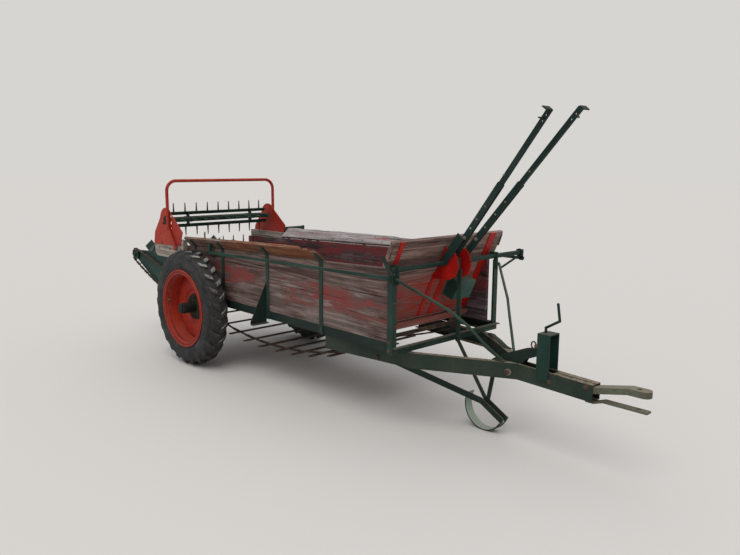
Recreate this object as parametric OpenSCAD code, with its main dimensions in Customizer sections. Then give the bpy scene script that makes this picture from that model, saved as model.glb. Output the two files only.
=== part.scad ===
// Two-wheeled ground-driven manure spreader, parked on its stand.
// Millimetres. +X forward to the hitch, +Y to the machine's left, +Z up.
// Every module is drawn with X = 0 at the axle and Z = 0 on the ground;
// placed() then moves it so that the origin is the centre of the hitch pin hole.

/* [Running gear] */
// Outside radius of the tyre over its lugs
tyre_r = 489; // [450:1:520]
// Section width of the tyre
tyre_w = 190; // [160:1:210]
// Height of the tyre's lugs
lug_h = 20; // [8:1:26]
// Radius of the rim where the bead sits
rim_r = 305; // [290:1:320]
// Radius of the axle
axle_r = 25; // [18:0.5:30]
// Outside radius of the hub's barrel
hub_r = 46; // [38:1:60]
// Height from the axle's centre to the top of the sills
axle_to_deck = 99; // [95:1:130]

/* [Box] */
// Half the width over the side boards
box_half = 500; // [460:1:560]
// Length of the box behind the axle
box_rear = 780; // [740:1:860]
// Distance from the axle to the front frame
front_x = 2300; // [2100:1:2500]
// Height of the upright part of the sides
side_h = 452; // [420:1:480]
// Fall of the sides' top edge for each metre towards the rear
side_fall = 32; // [0:1:50]
// Thickness of the side boards
board_t = 25; // [18:1:32]
// Width of the flare board
flare_w = 120; // [90:1:140]
// Lean of the left flare board, outward from upright
flare_left = 50; // [30:1:60]
// Lean of the right flare board, outward from upright
flare_right = 42; // [30:1:60]
// Thickness of the floor boards
floor_t = 22; // [16:1:28]
// Height of the sill channels
sill_h = 65; // [50:1:75]
// Width of the sill channels' flanges
sill_w = 40; // [32:1:45]
// Wall thickness of the rolled steel
steel_t = 6; // [4:0.5:7]

/* [Front panel] */
// How far the panel leans forward over its height
panel_lean = 262; // [200:1:290]
// Height of the panel from its foot to its top edge
panel_h = 573; // [500:1:590]
// Thickness of the panel's boards
panel_t = 24; // [18:1:28]

/* [Tongue and hitch] */
// Depth of the tongue's channels
tongue_h = 100; // [85:1:110]
// Distance from the axle to the tongue's nose
nose_x = 3400; // [3300:1:3500]
// Distance from the axle to the hitch pin hole
hitch_x = 3650; // [3600:1:3750]
// Height of the hitch pin hole's centre above the ground
hitch_z = 497; // [470:1:510]
// Radius of the hitch pin hole
pin_hole_r = 13; // [10:0.5:15]

/* [Beaters] */
// Height of the upper beater's shaft above the deck
upper_rise = 604; // [590:1:630]
// Distance from the axle back to the upper beater's shaft
upper_back = 543; // [520:1:570]
// Height of the main beater's shaft above the deck
main_rise = 225; // [200:1:240]
// Distance from the axle back to the main beater's shaft
main_back = 560; // [540:1:580]
// Height of the distributor's shaft above the deck
spread_rise = 222; // [200:1:240]
// Distance from the axle back to the distributor's shaft
spread_back = 1250; // [1230:1:1280]
// Reach of the upper beater's teeth
upper_reach = 150; // [135:1:160]
// Reach of the main beater's teeth
main_reach = 195; // [180:1:200]
// Reach of the distributor's paddles
spread_reach = 170; // [150:1:185]

/* [Levers] */
// Height of the lever shaft above the deck
lever_rise = 472; // [465:1:478]
// Radius of the lever shaft
lever_shaft_r = 17; // [14:0.5:20]
// Length of the right-hand lever
lever_len_right = 1197; // [1100:1:1260]
// Length of the left-hand lever
lever_len_left = 1282; // [1150:1:1320]
// Slope of the right-hand lever above the horizontal
lever_slope_right = 53.4; // [50:0.1:55]
// Slope of the left-hand lever above the horizontal
lever_slope_left = 48.8; // [47:0.1:52]
// Length of the crank arms on the lever shaft
crank_len = 46; // [44:1:66]
// Drop of the right rod from its front pin to its rear one
rod_drop = 42; // [40:1:60]

/* [Stand] */
// Distance from the stand's pivot forward to the middle of its foot
foot_reach = 575; // [560:1:590]
// Radius of the foot's runner
foot_r = 152; // [145:1:165]
// Width of the foot's runner
foot_w = 65; // [50:1:80]

/* [Hidden] */
$fn = 48;
eps = 0.01;
// Clearance of a shaft in its bearing, on the radius
fit_gap = 0.06;
// Gap between pieces that are bolted face to face
seat = 0.3;

// Heights
axle_z = tyre_r;
deck_z = axle_z + axle_to_deck;
sill_bot = deck_z - sill_h;
side_top = deck_z + side_h;
side_front = front_x - 42;
function side_z(x) = side_top + side_fall / 1000 * (x - STANDARDS[3]);
// Wheels
side_gap = 45;
track_half = box_half + side_gap + tyre_w / 2;
disc_y = track_half - 45;
disc_t = 8;
rim_half = 86;
rim_lip = 23;
hub_in = box_half + 11;
hub_out = disc_y + 135;
// Sides
board_in = box_half - board_t;
// Standards: distance forward of the axle of each, rear to front
STANDARDS = [-130, 310, 935, 1575];
strap_w = 38;
// Front panel
panel_foot_x = front_x - 232;
panel_foot_z = deck_z + 74;
panel_angle = atan2(panel_lean, panel_h);
panel_len = sqrt(panel_lean * panel_lean + panel_h * panel_h);
// Tongue
tongue_top = sill_bot - seat;
tongue_rear_x = front_x - 700;
tongue_bend_x = front_x + 45;
tongue_join_x = front_x + 600;
tongue_rear_y = box_half - 16;
tongue_bend_y = box_half - 100;
tongue_nose_y = 42;
tongue_drop = 38;
channel_w = 40;
// Levers
lever_z = deck_z + lever_rise;
lever_x = front_x;
lever_y_right = 8;
lever_y_left = 115;
lever_bar_w = 40;
lever_bar_t = 6;
rod_side_y = box_half + 68;
// Beater places
upper_x = -upper_back;
upper_z = deck_z + upper_rise;
main_x = -main_back;
main_z = deck_z + main_rise;
spread_x = -spread_back;
spread_z = deck_z + spread_rise;
beater_half = box_half + 40;
shaft_r = 17;
// End plates
plate_t = 5;
plank_in = box_half + 8.6;
upper_half = box_half + 66;
plate_y = box_half + 52;
plank_t = 43;
// Stand
stand_x = front_x - 230;
stand_z = tongue_top - tongue_h + 22;
foot_x = stand_x + foot_reach;

GREEN = "#1f4a3c";
RED = "#b5372a";
WOOD = "#8b7a72";
RUST = "#4a3226";
RUBBER = "#2a2a2a";

module placed() translate([-hitch_x, 0, -hitch_z]) children();

// A cylinder along Y from y0 to y1 about the point x, z
module along_y(x, z, y0, y1, r) translate([x, y1, z]) rotate([90, 0, 0]) cylinder(r = r, h = y1 - y0);

// A plate of an XZ outline, from y0 to y1
module plate_xz(y0, y1, points) translate([0, y1, 0]) rotate([90, 0, 0]) linear_extrude(y1 - y0) polygon(points);

// A straight flat bar in an XZ plane between two points, with its width across the bar
module bar_xz(a, b, w, y0, y1) {
    run = norm(b - a);
    translate([a[0], y0, a[1]])
        rotate([0, -atan2(b[1] - a[1], b[0] - a[0]), 0])
            translate([0, 0, -w / 2]) cube([run, y1 - y0, w]);
}

// A round rod between two points
module rod_between(a, b, r) {
    d = b - a;
    run = norm(d);
    translate(a)
        rotate([0, acos(d[2] / run), atan2(d[1], d[0])])
            cylinder(r = r, h = run);
}

// A channel laid along X with its web outside, from x0 to x1; side is 1 on the left
module channel_x(x0, x1, web_y, z0, h, w, side) {
    translate([x0, 0, z0])
        difference() {
            translate([0, side > 0 ? web_y - w : -web_y, 0]) cube([x1 - x0, w, h]);
            translate([-eps, side > 0 ? web_y - w - eps : -web_y + steel_t, steel_t])
                cube([x1 - x0 + 2 * eps, w - steel_t + eps, h - 2 * steel_t]);
        }
}

module sills() color(GREEN)
    for (side = [-1, 1]) channel_x(-box_rear + 60, front_x - 6, box_half, sill_bot, sill_h, sill_w, side);

// Cross channels between the sills, with the floor on them
CROSS_X = [-690, -450, -240, 310, 935, 1575];
cross_z = sill_bot + steel_t + seat;
cross_h = deck_z - floor_t - seat - cross_z;
module cross_sills() color(GREEN)
    for (x = CROSS_X)
        translate([x - 20, -(box_half - steel_t - seat), cross_z])
            difference() {
                cube([40, 2 * (box_half - steel_t - seat), cross_h]);
                translate([steel_t, -eps, -eps]) cube([40 - 2 * steel_t, 2 * box_half, cross_h - steel_t]);
            }

axle_end = hub_out - 20;
module axle() color(RUST) along_y(0, axle_z, -axle_end, axle_end, axle_r);

bracket_y = box_half - sill_w / 2;
module axle_brackets() color(GREEN)
    for (s = [-1, 1])
        difference() {
            translate([0, s * bracket_y, 0])
                union() {
                    translate([-55, -18, axle_z]) cube([110, 36, sill_bot - seat - axle_z]);
                    translate([0, 18, axle_z]) rotate([90, 0, 0]) cylinder(r = axle_r + 20, h = 36);
                }
            along_y(0, axle_z, -box_half - 50, box_half + 50, axle_r);
            translate([-80, -box_half - 50, sill_bot - seat]) cube([160, 2 * box_half + 100, 200]);
        }

// Beam of the tongue: under the sill, then converging, then along the nose
function tongue_z(x) = tongue_top - tongue_drop * max(0, x - tongue_bend_x) / (nose_x - tongue_bend_x);
module tongue_piece(x0, y0, x1, y1) {
    run = norm([x1 - x0, y1 - y0]);
    a = atan2(y1 - y0, x1 - x0);
    translate([x0, y0, 0]) rotate([0, 0, a])
        translate([0, steel_t / 2, 0])
            plate_xz(-steel_t, 0, [
                [0, tongue_z(x0) - tongue_h], [run, tongue_z(x1) - tongue_h],
                [run, tongue_z(x1)], [0, tongue_z(x0)]
            ]);
}
module tongue_flange(x0, y0, x1, y1, drop) {
    run = norm([x1 - x0, y1 - y0]);
    a = atan2(y1 - y0, x1 - x0);
    translate([x0, y0, 0]) rotate([0, 0, a])
        plate_xz(-channel_w + steel_t / 2, steel_t / 2, [
            [0, tongue_z(x0) - drop - steel_t], [run, tongue_z(x1) - drop - steel_t],
            [run, tongue_z(x1) - drop], [0, tongue_z(x0) - drop]
        ]);
}
TONGUE = [
    [tongue_rear_x, tongue_rear_y], [tongue_bend_x, tongue_bend_y],
    [tongue_join_x, tongue_nose_y], [nose_x, tongue_nose_y]
];
module tongue_half() {
    for (i = [0:len(TONGUE) - 2]) {
        a = TONGUE[i];
        b = TONGUE[i + 1];
        tongue_piece(a[0], a[1], b[0], b[1]);
        for (drop = [0, tongue_h - steel_t]) tongue_flange(a[0], a[1], b[0], b[1], drop);
    }
}
function tongue_y(x) = tongue_rear_y + (tongue_bend_y - tongue_rear_y) * (x - tongue_rear_x)
    / (tongue_bend_x - tongue_rear_x);
// Slot between the top flanges in which the jack's arm swings
slot_half = 32;
module tongue_beams() color(GREEN)
    for (side = [-1, 1]) difference() {
        mirror([0, side > 0 ? 0 : 1, 0]) tongue_half();
        translate([arm_x - 160, -slot_half, arm_z + 20]) cube([450, 2 * slot_half, 200]);
        along_y(stand_x, stand_z, -box_half, box_half, stand_pin_r);
        along_y(arm_x, arm_z, -box_half, box_half, arm_pin_r);
    }

block_half = tongue_nose_y - steel_t / 2 - seat;
module tongue_blocks() color(GREEN)
    for (x = [nose_x - 240, nose_x - 160])
        translate([x - 30, -block_half, tongue_z(x + 30) - tongue_h + steel_t + 3])
            cube([60, 2 * block_half, tongue_h - 2 * steel_t - 6]);

stand_pin_r = 9;
arm_pin_r = 12;
pin_head = 5;
module tongue_pins() color(RUST) {
    for (s = [-1, 1]) mirror([0, s > 0 ? 0 : 1, 0]) {
        along_y(stand_x, stand_z, leg_top_y - 16, tongue_y(stand_x) + 12, stand_pin_r);
        along_y(stand_x, stand_z, tongue_y(stand_x) + steel_t / 2 + seat + 2, tongue_y(stand_x) + 12, 15);
    }
    along_y(arm_x, arm_z, -pin_out, pin_out, arm_pin_r);
    for (s = [-1, 1]) along_y(arm_x, arm_z, s > 0 ? pin_out - 4 : -pin_out, s > 0 ? pin_out : -pin_out + 4, 16);
}

// Drawbar: a bar out of the nose that levels at the pin hole, and a strap below it
bar_h = 36;
bar_rear_x = nose_x - 110;
bar_rise = 68;
module hitch_bar() color(RUST) difference() {
    union() {
        plate_xz(-block_half, block_half, [
            [bar_rear_x, hitch_z - bar_h / 2 - bar_rise], [hitch_x - 50, hitch_z - bar_h / 2],
            [hitch_x + 30, hitch_z - bar_h / 2], [hitch_x + 30, hitch_z + bar_h / 2],
            [hitch_x - 50, hitch_z + bar_h / 2], [bar_rear_x, hitch_z + bar_h / 2 - bar_rise]
        ]);
        translate([hitch_x + 30, 0, hitch_z - bar_h / 2]) cylinder(r = block_half, h = bar_h);
    }
    translate([hitch_x, 0, hitch_z - bar_h]) cylinder(r = pin_hole_r, h = 2 * bar_h);
}
strap_drop = 100;
strap_t = 12;
strap_half = 24;
strap_z = hitch_z - strap_drop - strap_t / 2;
nose_bot = tongue_z(nose_x) - tongue_h;
module hitch_strap() color(RUST) difference() {
    union() {
        translate([nose_x - 50, -strap_half, nose_bot - strap_t - seat]) cube([50, 2 * strap_half, strap_t]);
        plate_xz(-strap_half, strap_half, [
            [nose_x, nose_bot - strap_t - seat], [nose_x + 55, strap_z], [hitch_x + 60, strap_z],
            [hitch_x + 60, strap_z + strap_t], [nose_x + 52, strap_z + strap_t], [nose_x, nose_bot - seat]
        ]);
    }
    translate([hitch_x, 0, strap_z - 10]) cylinder(r = pin_hole_r, h = 40);
}

// Jack: a channel astride the nose, its web behind with a window for the arm
jack_x = front_x + 734;
jack_depth = 86;
jack_bot = 430;
jack_top = deck_z + 132;
jack_half = tongue_nose_y + steel_t / 2 + seat + steel_t;
screw_x = jack_x + 24;
module jack_post() color(GREEN) difference() {
    translate([jack_x, -jack_half, jack_bot]) cube([jack_depth, 2 * jack_half, jack_top - jack_bot]);
    translate([jack_x + steel_t, -jack_half + steel_t, jack_bot - 1])
        cube([jack_depth, 2 * (jack_half - steel_t), jack_top - jack_bot - steel_t + 1]);
    translate([jack_x - 1, -jack_half + steel_t, jack_bot - 1])
        cube([jack_depth, 2 * (jack_half - steel_t), tongue_z(jack_x) + 1 - jack_bot]);
    translate([jack_x - 1, -slot_half, jack_bot]) cube([20, 2 * slot_half, jack_top - 60 - jack_bot]);
    translate([screw_x, 0, jack_top - 20]) cylinder(r = crank_r, h = 40);
}
crank_r = 8;
nut_r = 14;
module jack_screw() color(RUST) {
    top = jack_top + 30;
    CRANK = [[screw_x, top], [screw_x + 90, top + 54], [screw_x + 74, top + 152]];
    translate([screw_x, 0, tongue_z(screw_x) + 6]) cylinder(r = crank_r, h = top - tongue_z(screw_x) - 6);
    translate([screw_x, 0, arm_front[1] - 14]) cylinder(r = nut_r, h = 28);
    translate([screw_x, 0, tongue_z(screw_x) + 6]) cylinder(r = nut_r, h = 12);
    for (i = [0:1])
        rod_between([CRANK[i][0], 0, CRANK[i][1]], [CRANK[i + 1][0], 0, CRANK[i + 1][1]], crank_r);
    for (p = CRANK) translate([p[0], 0, p[1]]) sphere(r = crank_r + 0.6);
}

post_w = 42;
post_y = box_half + 40;
post_top = deck_z + 440;
post_foot = tongue_top + seat;
ear_z = side_top + 6;
function panel_x(z) = panel_foot_x + (z - panel_foot_z) * tan(panel_angle);
bar_depth = 35;
bar_height = 48;
strut_y = 38;
strut_x = front_x + steel_t + bar_depth;
// Front frame: a post at each side, the crossbar on the tongue and the strut at the middle
module front_frame() color(GREEN) {
    for (s = [-1, 1]) mirror([0, s > 0 ? 0 : 1, 0]) {
        translate([front_x, post_y - post_w, post_foot]) cube([steel_t, post_w, post_top - post_foot]);
        translate([front_x + steel_t - post_w, post_y - steel_t, post_foot])
            cube([post_w, steel_t, post_top - post_foot]);
        // Ear that carries the lever shaft and meets the panel
        difference() {
            plate_xz(box_half + seat, post_y - post_w + 10, [
                [front_x - 4, post_top - 60], [front_x + 28, post_top - 60], [front_x + 28, lever_z + 30],
                [panel_x(lever_z + 30) + seat, lever_z + 30], [panel_x(ear_z) + seat, ear_z], [front_x - 4, ear_z]
            ]);
            along_y(lever_x, lever_z, 0, box_half + 200, lever_shaft_r + fit_gap);
        }
    }
    translate([front_x + steel_t, -post_y, post_foot]) difference() {
        cube([bar_depth, 2 * post_y, bar_height]);
        translate([steel_t, -eps, -eps]) cube([bar_depth, 2 * post_y + 1, bar_height - steel_t]);
    }
    difference() {
        union() {
            translate([strut_x, strut_y, post_foot]) cube([steel_t, 28, lever_z - post_foot + 30]);
            translate([strut_x, strut_y, post_foot]) cube([36, steel_t, lever_z - post_foot - 40]);
            translate([front_x - 28, strut_y + 8, lever_z - 30]) cube([strut_x - front_x + 30, 12, 60]);
        }
        along_y(lever_x, lever_z, 0, 300, lever_shaft_r + fit_gap);
    }
}
brace_foot_x = tongue_join_x - 110;
brace_foot_y = 78;
// Bend of each brace rod: distance forward of the front frame, distance from the middle, height
BRACE_BENDS = [[268, 300, 815], [346, 217, 722], [415, 152, 618]];
module brace_rods() color(GREEN) {
    foot_z = tongue_z(brace_foot_x) + seat;
    for (s = [-1, 1]) {
        P = concat([[front_x + steel_t + 16, s * (post_y - 12), post_top - 20]],
            [for (b = BRACE_BENDS) [front_x + b[0], s * b[1], b[2]]],
            [[brace_foot_x, s * brace_foot_y, foot_z + 11]]);
        for (i = [0:len(P) - 2]) rod_between(P[i], P[i + 1], 9);
        for (i = [1:len(P) - 2]) translate(P[i]) sphere(r = 9.6);
        translate([brace_foot_x - 22, s * brace_foot_y - 14, foot_z + 0.6]) cube([56, 28, 6]);
    }
}

// Boards of the leaning front panel, in a frame whose Z runs up the panel
module on_panel() translate([panel_foot_x, 0, panel_foot_z]) rotate([0, panel_angle, 0]) children();
low_boards = 3;
top_boards = 2;
low_len = (side_z(side_front) + 3 - panel_foot_z) / cos(panel_angle);
// The three lower boards stand between the sides, the two upper ones reach past them
module front_panel() color(WOOD) {
    on_panel() {
        for (i = [0:low_boards - 1])
            translate([-panel_t, -board_in + 4, i * low_len / low_boards])
                cube([panel_t, 2 * board_in - 8, low_len / low_boards - 2]);
        for (i = [0:top_boards - 1])
            translate([-panel_t, -box_half - 55, low_len + i * (panel_len - low_len) / top_boards])
                cube([panel_t, 2 * box_half + 110, (panel_len - low_len) / top_boards - 2]);
    }
    translate([panel_foot_x + 4, -board_in + 4, panel_foot_z - 52]) cube([24, 2 * board_in - 8, 40]);
}
// Red straps: middle, width, start and end up the panel
STRAPS = [
    [1 - board_in, 34, low_len + 4, panel_len - 2], [-45, 34, 10, 0.82 * low_len], [70, 44, 10, 0.9 * low_len],
    [board_in - 37, 66, 10, panel_len - 2]
];
module panel_straps() color(RED) on_panel()
    for (s = STRAPS) translate([seat, s[0] - s[1] / 2, s[2]]) cube([6, s[1], s[3] - s[2]]);

// Quadrants beside the levers, bolted to the panel, with notches at their front edge
quad_r = 118;
NOTCHES = [for (a = [-30:8:34]) a];
module quadrant(y) difference() {
    plate_xz(y, y + 8, [for (p = concat(
        [[-58, 81], [-12, 113], [44, 99]], [for (a = [52:-11:-36]) quad_r * [cos(a), sin(a)] + [4, -6]],
        [[52, -104], [-106, -119], [-131, -90], [-97, 5]]
    )) [lever_x + p[0], lever_z + p[1]]]);
    along_y(lever_x, lever_z, y - 1, y + 9, lever_shaft_r + fit_gap);
    for (a = NOTCHES)
        translate([lever_x + 4, y - 1, lever_z - 6]) rotate([0, -a, 0])
            translate([quad_r - 8, 0, -3.5]) cube([20, 10, 7]);
    on_panel() translate([-300, y - 1, -400]) cube([300 + seat + 6, 10, 1500]);
}
module quadrants() color(RED) {
    quadrant(lever_y_right - 60);
    quadrant(lever_y_left - 36);
}
module tool_box() color(GREEN) on_panel()
    translate([seat, 132, 168]) cube([96, 190, 140]);

// Sides of three boards, with a clearance hole for the main beater's shaft; the top board follows the sides' fall
module side_boards(side) color(WOOD) difference() {
    union() {
        for (i = [0, 1])
            translate([i == 0 ? -600 : -box_rear, side > 0 ? board_in : -box_half, deck_z + i * side_h / 3])
                cube([side_front + (i == 0 ? 600 : box_rear), board_t, side_h / 3 - 2]);
        plate_xz(side > 0 ? board_in : -box_half, side > 0 ? box_half : -board_in, [
            [-box_rear, deck_z + side_h * 2 / 3], [side_front, deck_z + side_h * 2 / 3],
            [side_front, side_z(side_front)], [-box_rear, side_z(-box_rear)]
        ]);
    }
    along_y(main_x, main_z, -box_half - 5, box_half + 5, shaft_r + 7);
}
// Upper edges of the flare boards: distance along the board, share of the board's width that is left there
FLARE_LEFT = [
    [-225, 1], [-90, 1.03], [60, 0.96], [240, 1], [330, 0.95], [560, 0.97], [740, 0.9], [900, 0.93], [1000, 0.86],
    [1250, 0.84], [1330, 0.74], [1560, 0.7], [1700, 0.58], [1850, 0.56], [1960, 0.46], [2200, 0.4]
];
FLARE_RIGHT = [
    [-225, 0.8], [300, 0.86], [800, 0.89], [1395, 0.9], [1412, 0.76], [1470, 0.78], [1528, 0.72], [1556, 0.5], [1600, 0.16]
];
module flare(side) color(WOOD)
    mirror([0, side > 0 ? 0 : 1, 0])
        translate([0, box_half - 4, side_z(0) + 2]) rotate([0, -atan(side_fall / 1000), 0])
            rotate([side > 0 ? -flare_left : -flare_right, 0, 0]) {
                E = side > 0 ? FLARE_LEFT : FLARE_RIGHT;
                plate_xz(-board_t + 4, 0, concat(
                    [[E[len(E) - 1][0], 0], [E[0][0], 0]], [for (e = E) [e[0], e[1] * flare_w]]));
            }
module standards() color(GREEN)
    for (side = [-1, 1], x = STANDARDS) mirror([0, side > 0 ? 0 : 1, 0]) {
        a = side > 0 ? flare_left : flare_right;
        reach = flare_w * 0.72;
        top = side_z(x) + 2;
        translate([x - strap_w / 2, box_half + seat, 0]) rotate([90, 0, 90]) linear_extrude(strap_w) polygon([
            [0, sill_bot], [steel_t, sill_bot], [steel_t, top - steel_t * tan(a / 2)],
            [steel_t * cos(a) + reach * sin(a), top + reach * cos(a) - steel_t * sin(a)],
            [reach * sin(a), top + reach * cos(a)], [0, top]
        ]);
    }
// Chain loops: x, z, radius, sag of the run that leaves it, links on its arc, links on that run
function out_angle(c, d) = atan2(d[1] - c[1], d[0] - c[0])
    - acos((c[2] - d[2]) / norm([d[0] - c[0], d[1] - c[1]]));
function on_circle(c, a) = [c[0] + c[2] * cos(a), c[1] + c[2] * sin(a)];
function loop_points(C) = [for (i = [0:len(C) - 1]) let (
    n = len(C), c = C[i], d = C[(i + 1) % n], a0 = out_angle(C[(i + n - 1) % n], c), a1 = out_angle(c, d),
    sweep = a1 - a0 + 360 * ceil((a0 - a1) / 360), p = on_circle(c, a1), q = on_circle(d, a1)
) each concat(
    [for (j = [0:c[4] - 1]) on_circle(c, a0 + sweep * j / c[4])],
    [for (j = [0:c[5] - 1]) let (t = j / c[5]) p + (q - p) * t - [0, 4 * c[3] * t * (1 - t)]]
)];
// A chain of flat links, every other one narrower, with a roller at each joint
module chain(C, y, half, h) {
    pts = loop_points(C);
    for (i = [0:len(pts) - 1]) {
        a = pts[i];
        b = pts[(i + 1) % len(pts)];
        w = i % 2 == 0 ? half : half * 0.55;
        bar_xz(a, b, h, y - w, y + w);
        along_y(a[0], a[1], y - half - 1.5, y + half + 1.5, h * 0.58);
    }
}

// Apron: two chains with slats, over the floor and slack below it
apron_y = board_in - 105;
apron_front = front_x - 260;
apron_rear = -560;
sprocket_r = 45;
chain_h = 12;
apron_mid = deck_z + 8 - sprocket_r;
sag = 240;
APRON = [[apron_front, apron_mid, sprocket_r, 0, 4, 26], [apron_rear, apron_mid, sprocket_r, sag, 4, 26]];
function apron_low(x) = let (t = (x - apron_rear) / (apron_front - apron_rear))
    apron_mid - sprocket_r - 4 * sag * t * (1 - t);
module apron_chains() color(RUST)
    for (s = [-1, 1]) chain(APRON, s * apron_y, 9, chain_h);
slat_w = 32;
slat_t = 8;
slat_half = board_in - 25;
slat_pitch = 215;
module slats_at(x, z) translate([x - slat_w / 2, -slat_half, z]) cube([slat_w, 2 * slat_half, slat_t]);
module apron_slats() color(RUST) {
    for (x = [apron_rear + 110:slat_pitch:apron_front - 60]) slats_at(x, apron_mid + sprocket_r + chain_h * 0.58 + seat);
    for (x = [apron_rear + 210:slat_pitch:apron_front - 290]) slats_at(x, apron_low(x) - chain_h * 0.58 - slat_t - 5);
}
module apron_shafts() color(RUST)
    for (x = [apron_rear, apron_front]) {
        along_y(x, apron_mid, -box_half + steel_t + seat, box_half - steel_t - seat, 15);
        for (s = [-1, 1]) along_y(x, apron_mid, s * apron_y - 5, s * apron_y + 5, sprocket_r - chain_h / 2 - 5);
    }

// Triangular outriggers on two of the standards: distance forward of the axle, reach, height, foot's height
GUSSETS = [[310, 40, 190, sill_bot], [935, 145, 310, sill_bot - 30]];
module gussets() color(GREEN)
    for (side = [-1, 1], g = GUSSETS) mirror([0, side > 0 ? 0 : 1, 0])
        translate([g[0] - strap_w / 2, box_half + seat + steel_t + seat, g[3]]) {
            rotate([90, 0, 90]) linear_extrude(steel_t) polygon([[0, 0], [g[1], 0], [g[1], 25], [0, g[2]]]);
            cube([strap_w, g[1], steel_t]);
        }
floor_half = box_half - sill_w - 2;
floor_rear = apron_rear + 68;
floor_front = apron_front - 68;
module floor_boards() color(WOOD)
    for (i = [0:5])
        translate([floor_rear, -floor_half + i * 2 * floor_half / 6, deck_z - floor_t])
            cube([floor_front - floor_rear, 2 * floor_half / 6 - 2, floor_t]);

// Red end plates with round heads, on a thick plank at each side
head_r = 112;
PLATE = [
    [-box_rear - 10, side_top - 78], [-300, side_top - 62], [-252, side_top + 62],
    [upper_x + head_r * cos(35), upper_z + head_r * sin(35)], [upper_x, upper_z],
    [upper_x - head_r * cos(10), upper_z + head_r * sin(10)], [-box_rear + 14, side_top + 34]
];
module both_sides() for (s = [-1, 1]) mirror([0, s > 0 ? 0 : 1, 0]) children();
module end_plates() color(RED) both_sides() difference() {
    union() {
        along_y(upper_x, upper_z, plate_y, plate_y + plate_t, head_r);
        plate_xz(plate_y, plate_y + plate_t, PLATE);
    }
    along_y(upper_x, upper_z, plate_y - 1, plate_y + plate_t + 1, shaft_r + fit_gap);
    translate([upper_x + 82, plate_y - 1, upper_z - 70]) cube([20, plate_t + 2, 120]);
}
plank_h = 175;
module rear_planks() color(WOOD) both_sides() {
    z0 = side_top - 10 - plank_h;
    translate([0, plate_y - seat, z0]) rotate([90, 0, 0]) linear_extrude(plate_y - seat - plank_in) difference() {
        translate([-box_rear - 4, 0]) square([box_rear - 252, plank_h]);
        difference() {
            translate([-box_rear - 5, -1]) square([51, 51]);
            translate([-box_rear + 46, 50]) circle(r = 50);
        }
    }
}

arch_r = 14;
arch_y = plate_y + plate_t + arch_r + seat;
arch_top = deck_z + 955;
arch_x = -480;
arch_bend = 90;
arch_foot_x = -358;
module arch() color(RED) {
    for (s = [-1, 1]) {
        rod_between([arch_x, s * arch_y, side_top + 70], [arch_x, s * arch_y, arch_top - arch_bend], arch_r);
        bar_xz([arch_x, side_top + 80], [arch_foot_x, side_top - 95], 36,
            s > 0 ? arch_y - 5 : -arch_y - 5, s > 0 ? arch_y + 5 : -arch_y + 5);
        translate([arch_x, s * (arch_y - arch_bend), arch_top - arch_bend])
            rotate([0, 0, s > 0 ? 90 : -90]) rotate([90, 0, 0])
                rotate_extrude(angle = 90) translate([arch_bend, 0]) circle(r = arch_r);
    }
    along_y(arch_x, arch_top, -arch_y + arch_bend, arch_y - arch_bend, arch_r);
}

// Arms behind the box that carry the distributor, with the main beater's bearings
module spreader_arms() color(GREEN)
    for (s = [-1, 1]) difference() {
        union() {
            plate_xz(s > 0 ? box_half + seat : -box_half - seat - 8, s > 0 ? box_half + seat + 8 : -box_half - seat, [
                [-500, sill_bot + 5], [-500, side_z(-box_rear) - 12], [-box_rear + 10, side_z(-box_rear) - 12],
                [-box_rear - 20, deck_z + 290],
                [spread_x + 20, spread_z + 45], [spread_x - 50, spread_z],
                [spread_x, spread_z - 50], [-900, sill_bot + 60], [-box_rear, sill_bot + 5]
            ]);
        }
        along_y(spread_x, spread_z, -box_half - 100, box_half + 100, shaft_r + fit_gap);
        along_y(main_x, main_z, -box_half - 100, box_half + 100, shaft_r + fit_gap);
    }

// Wheels
module at_wheel(side) translate([0, side * track_half, axle_z]) rotate([side > 0 ? -90 : 90, 0, 0]) children();
LUGS = 24;
module tyre(side) color(RUBBER) at_wheel(side) {
    half = tyre_w / 2;
    body_r = tyre_r - lug_h;
    rotate_extrude() polygon([
        [rim_r + 1, -rim_half + 13], [rim_r + rim_lip + 3, -rim_half + 9], [rim_r + 38, -rim_half + 3], [rim_r + 70, -half], [body_r - 70, -half],
        [body_r - 30, -half + 12], [body_r - 8, -half + 40], [body_r, 0], [body_r - 8, half - 40],
        [body_r - 30, half - 12], [body_r - 70, half], [rim_r + 70, half], [rim_r + 38, rim_half - 3],
        [rim_r + rim_lip + 3, rim_half - 9], [rim_r + 1, rim_half - 13]
    ]);
    // Lugs, trimmed to the outside radius
    intersection() {
        cylinder(r = tyre_r, h = 2 * tyre_w, center = true);
        for (row = [-1, 1], i = [0:LUGS - 1]) rotate([0, 0, (i + (row > 0 ? 0.5 : 0)) * 360 / LUGS])
            translate([body_r - 22, 0, row * 38]) rotate([row * 38, 0, 0])
                translate([0, -10, -44]) cube([lug_h + 26, 20, 88]);
    }
}
module rim(side) color(RED) at_wheel(side) rotate_extrude() polygon([
    [hub_r + 10, -45 - disc_t], [150, -45 - disc_t], [165, -30 - disc_t], [rim_r - 50, -30 - disc_t],
    [rim_r - 40, -60], [rim_r - 9, -70], [rim_r - 9, -rim_half + 4], [rim_r + rim_lip, -rim_half],
    [rim_r + rim_lip, -rim_half + 8], [rim_r + 0.5, -rim_half + 12], [rim_r + 0.5, -60], [rim_r - 20, -45],
    [rim_r - 20, 45], [rim_r + 0.5, 60], [rim_r + 0.5, rim_half - 12], [rim_r + rim_lip, rim_half - 8],
    [rim_r + rim_lip, rim_half], [rim_r - 9, rim_half - 4], [rim_r - 9, 62], [rim_r - 28, 48],
    [rim_r - 28, -40], [rim_r - 44, -30], [158, -30], [146, -45], [hub_r + 10, -45]
]);
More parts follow.
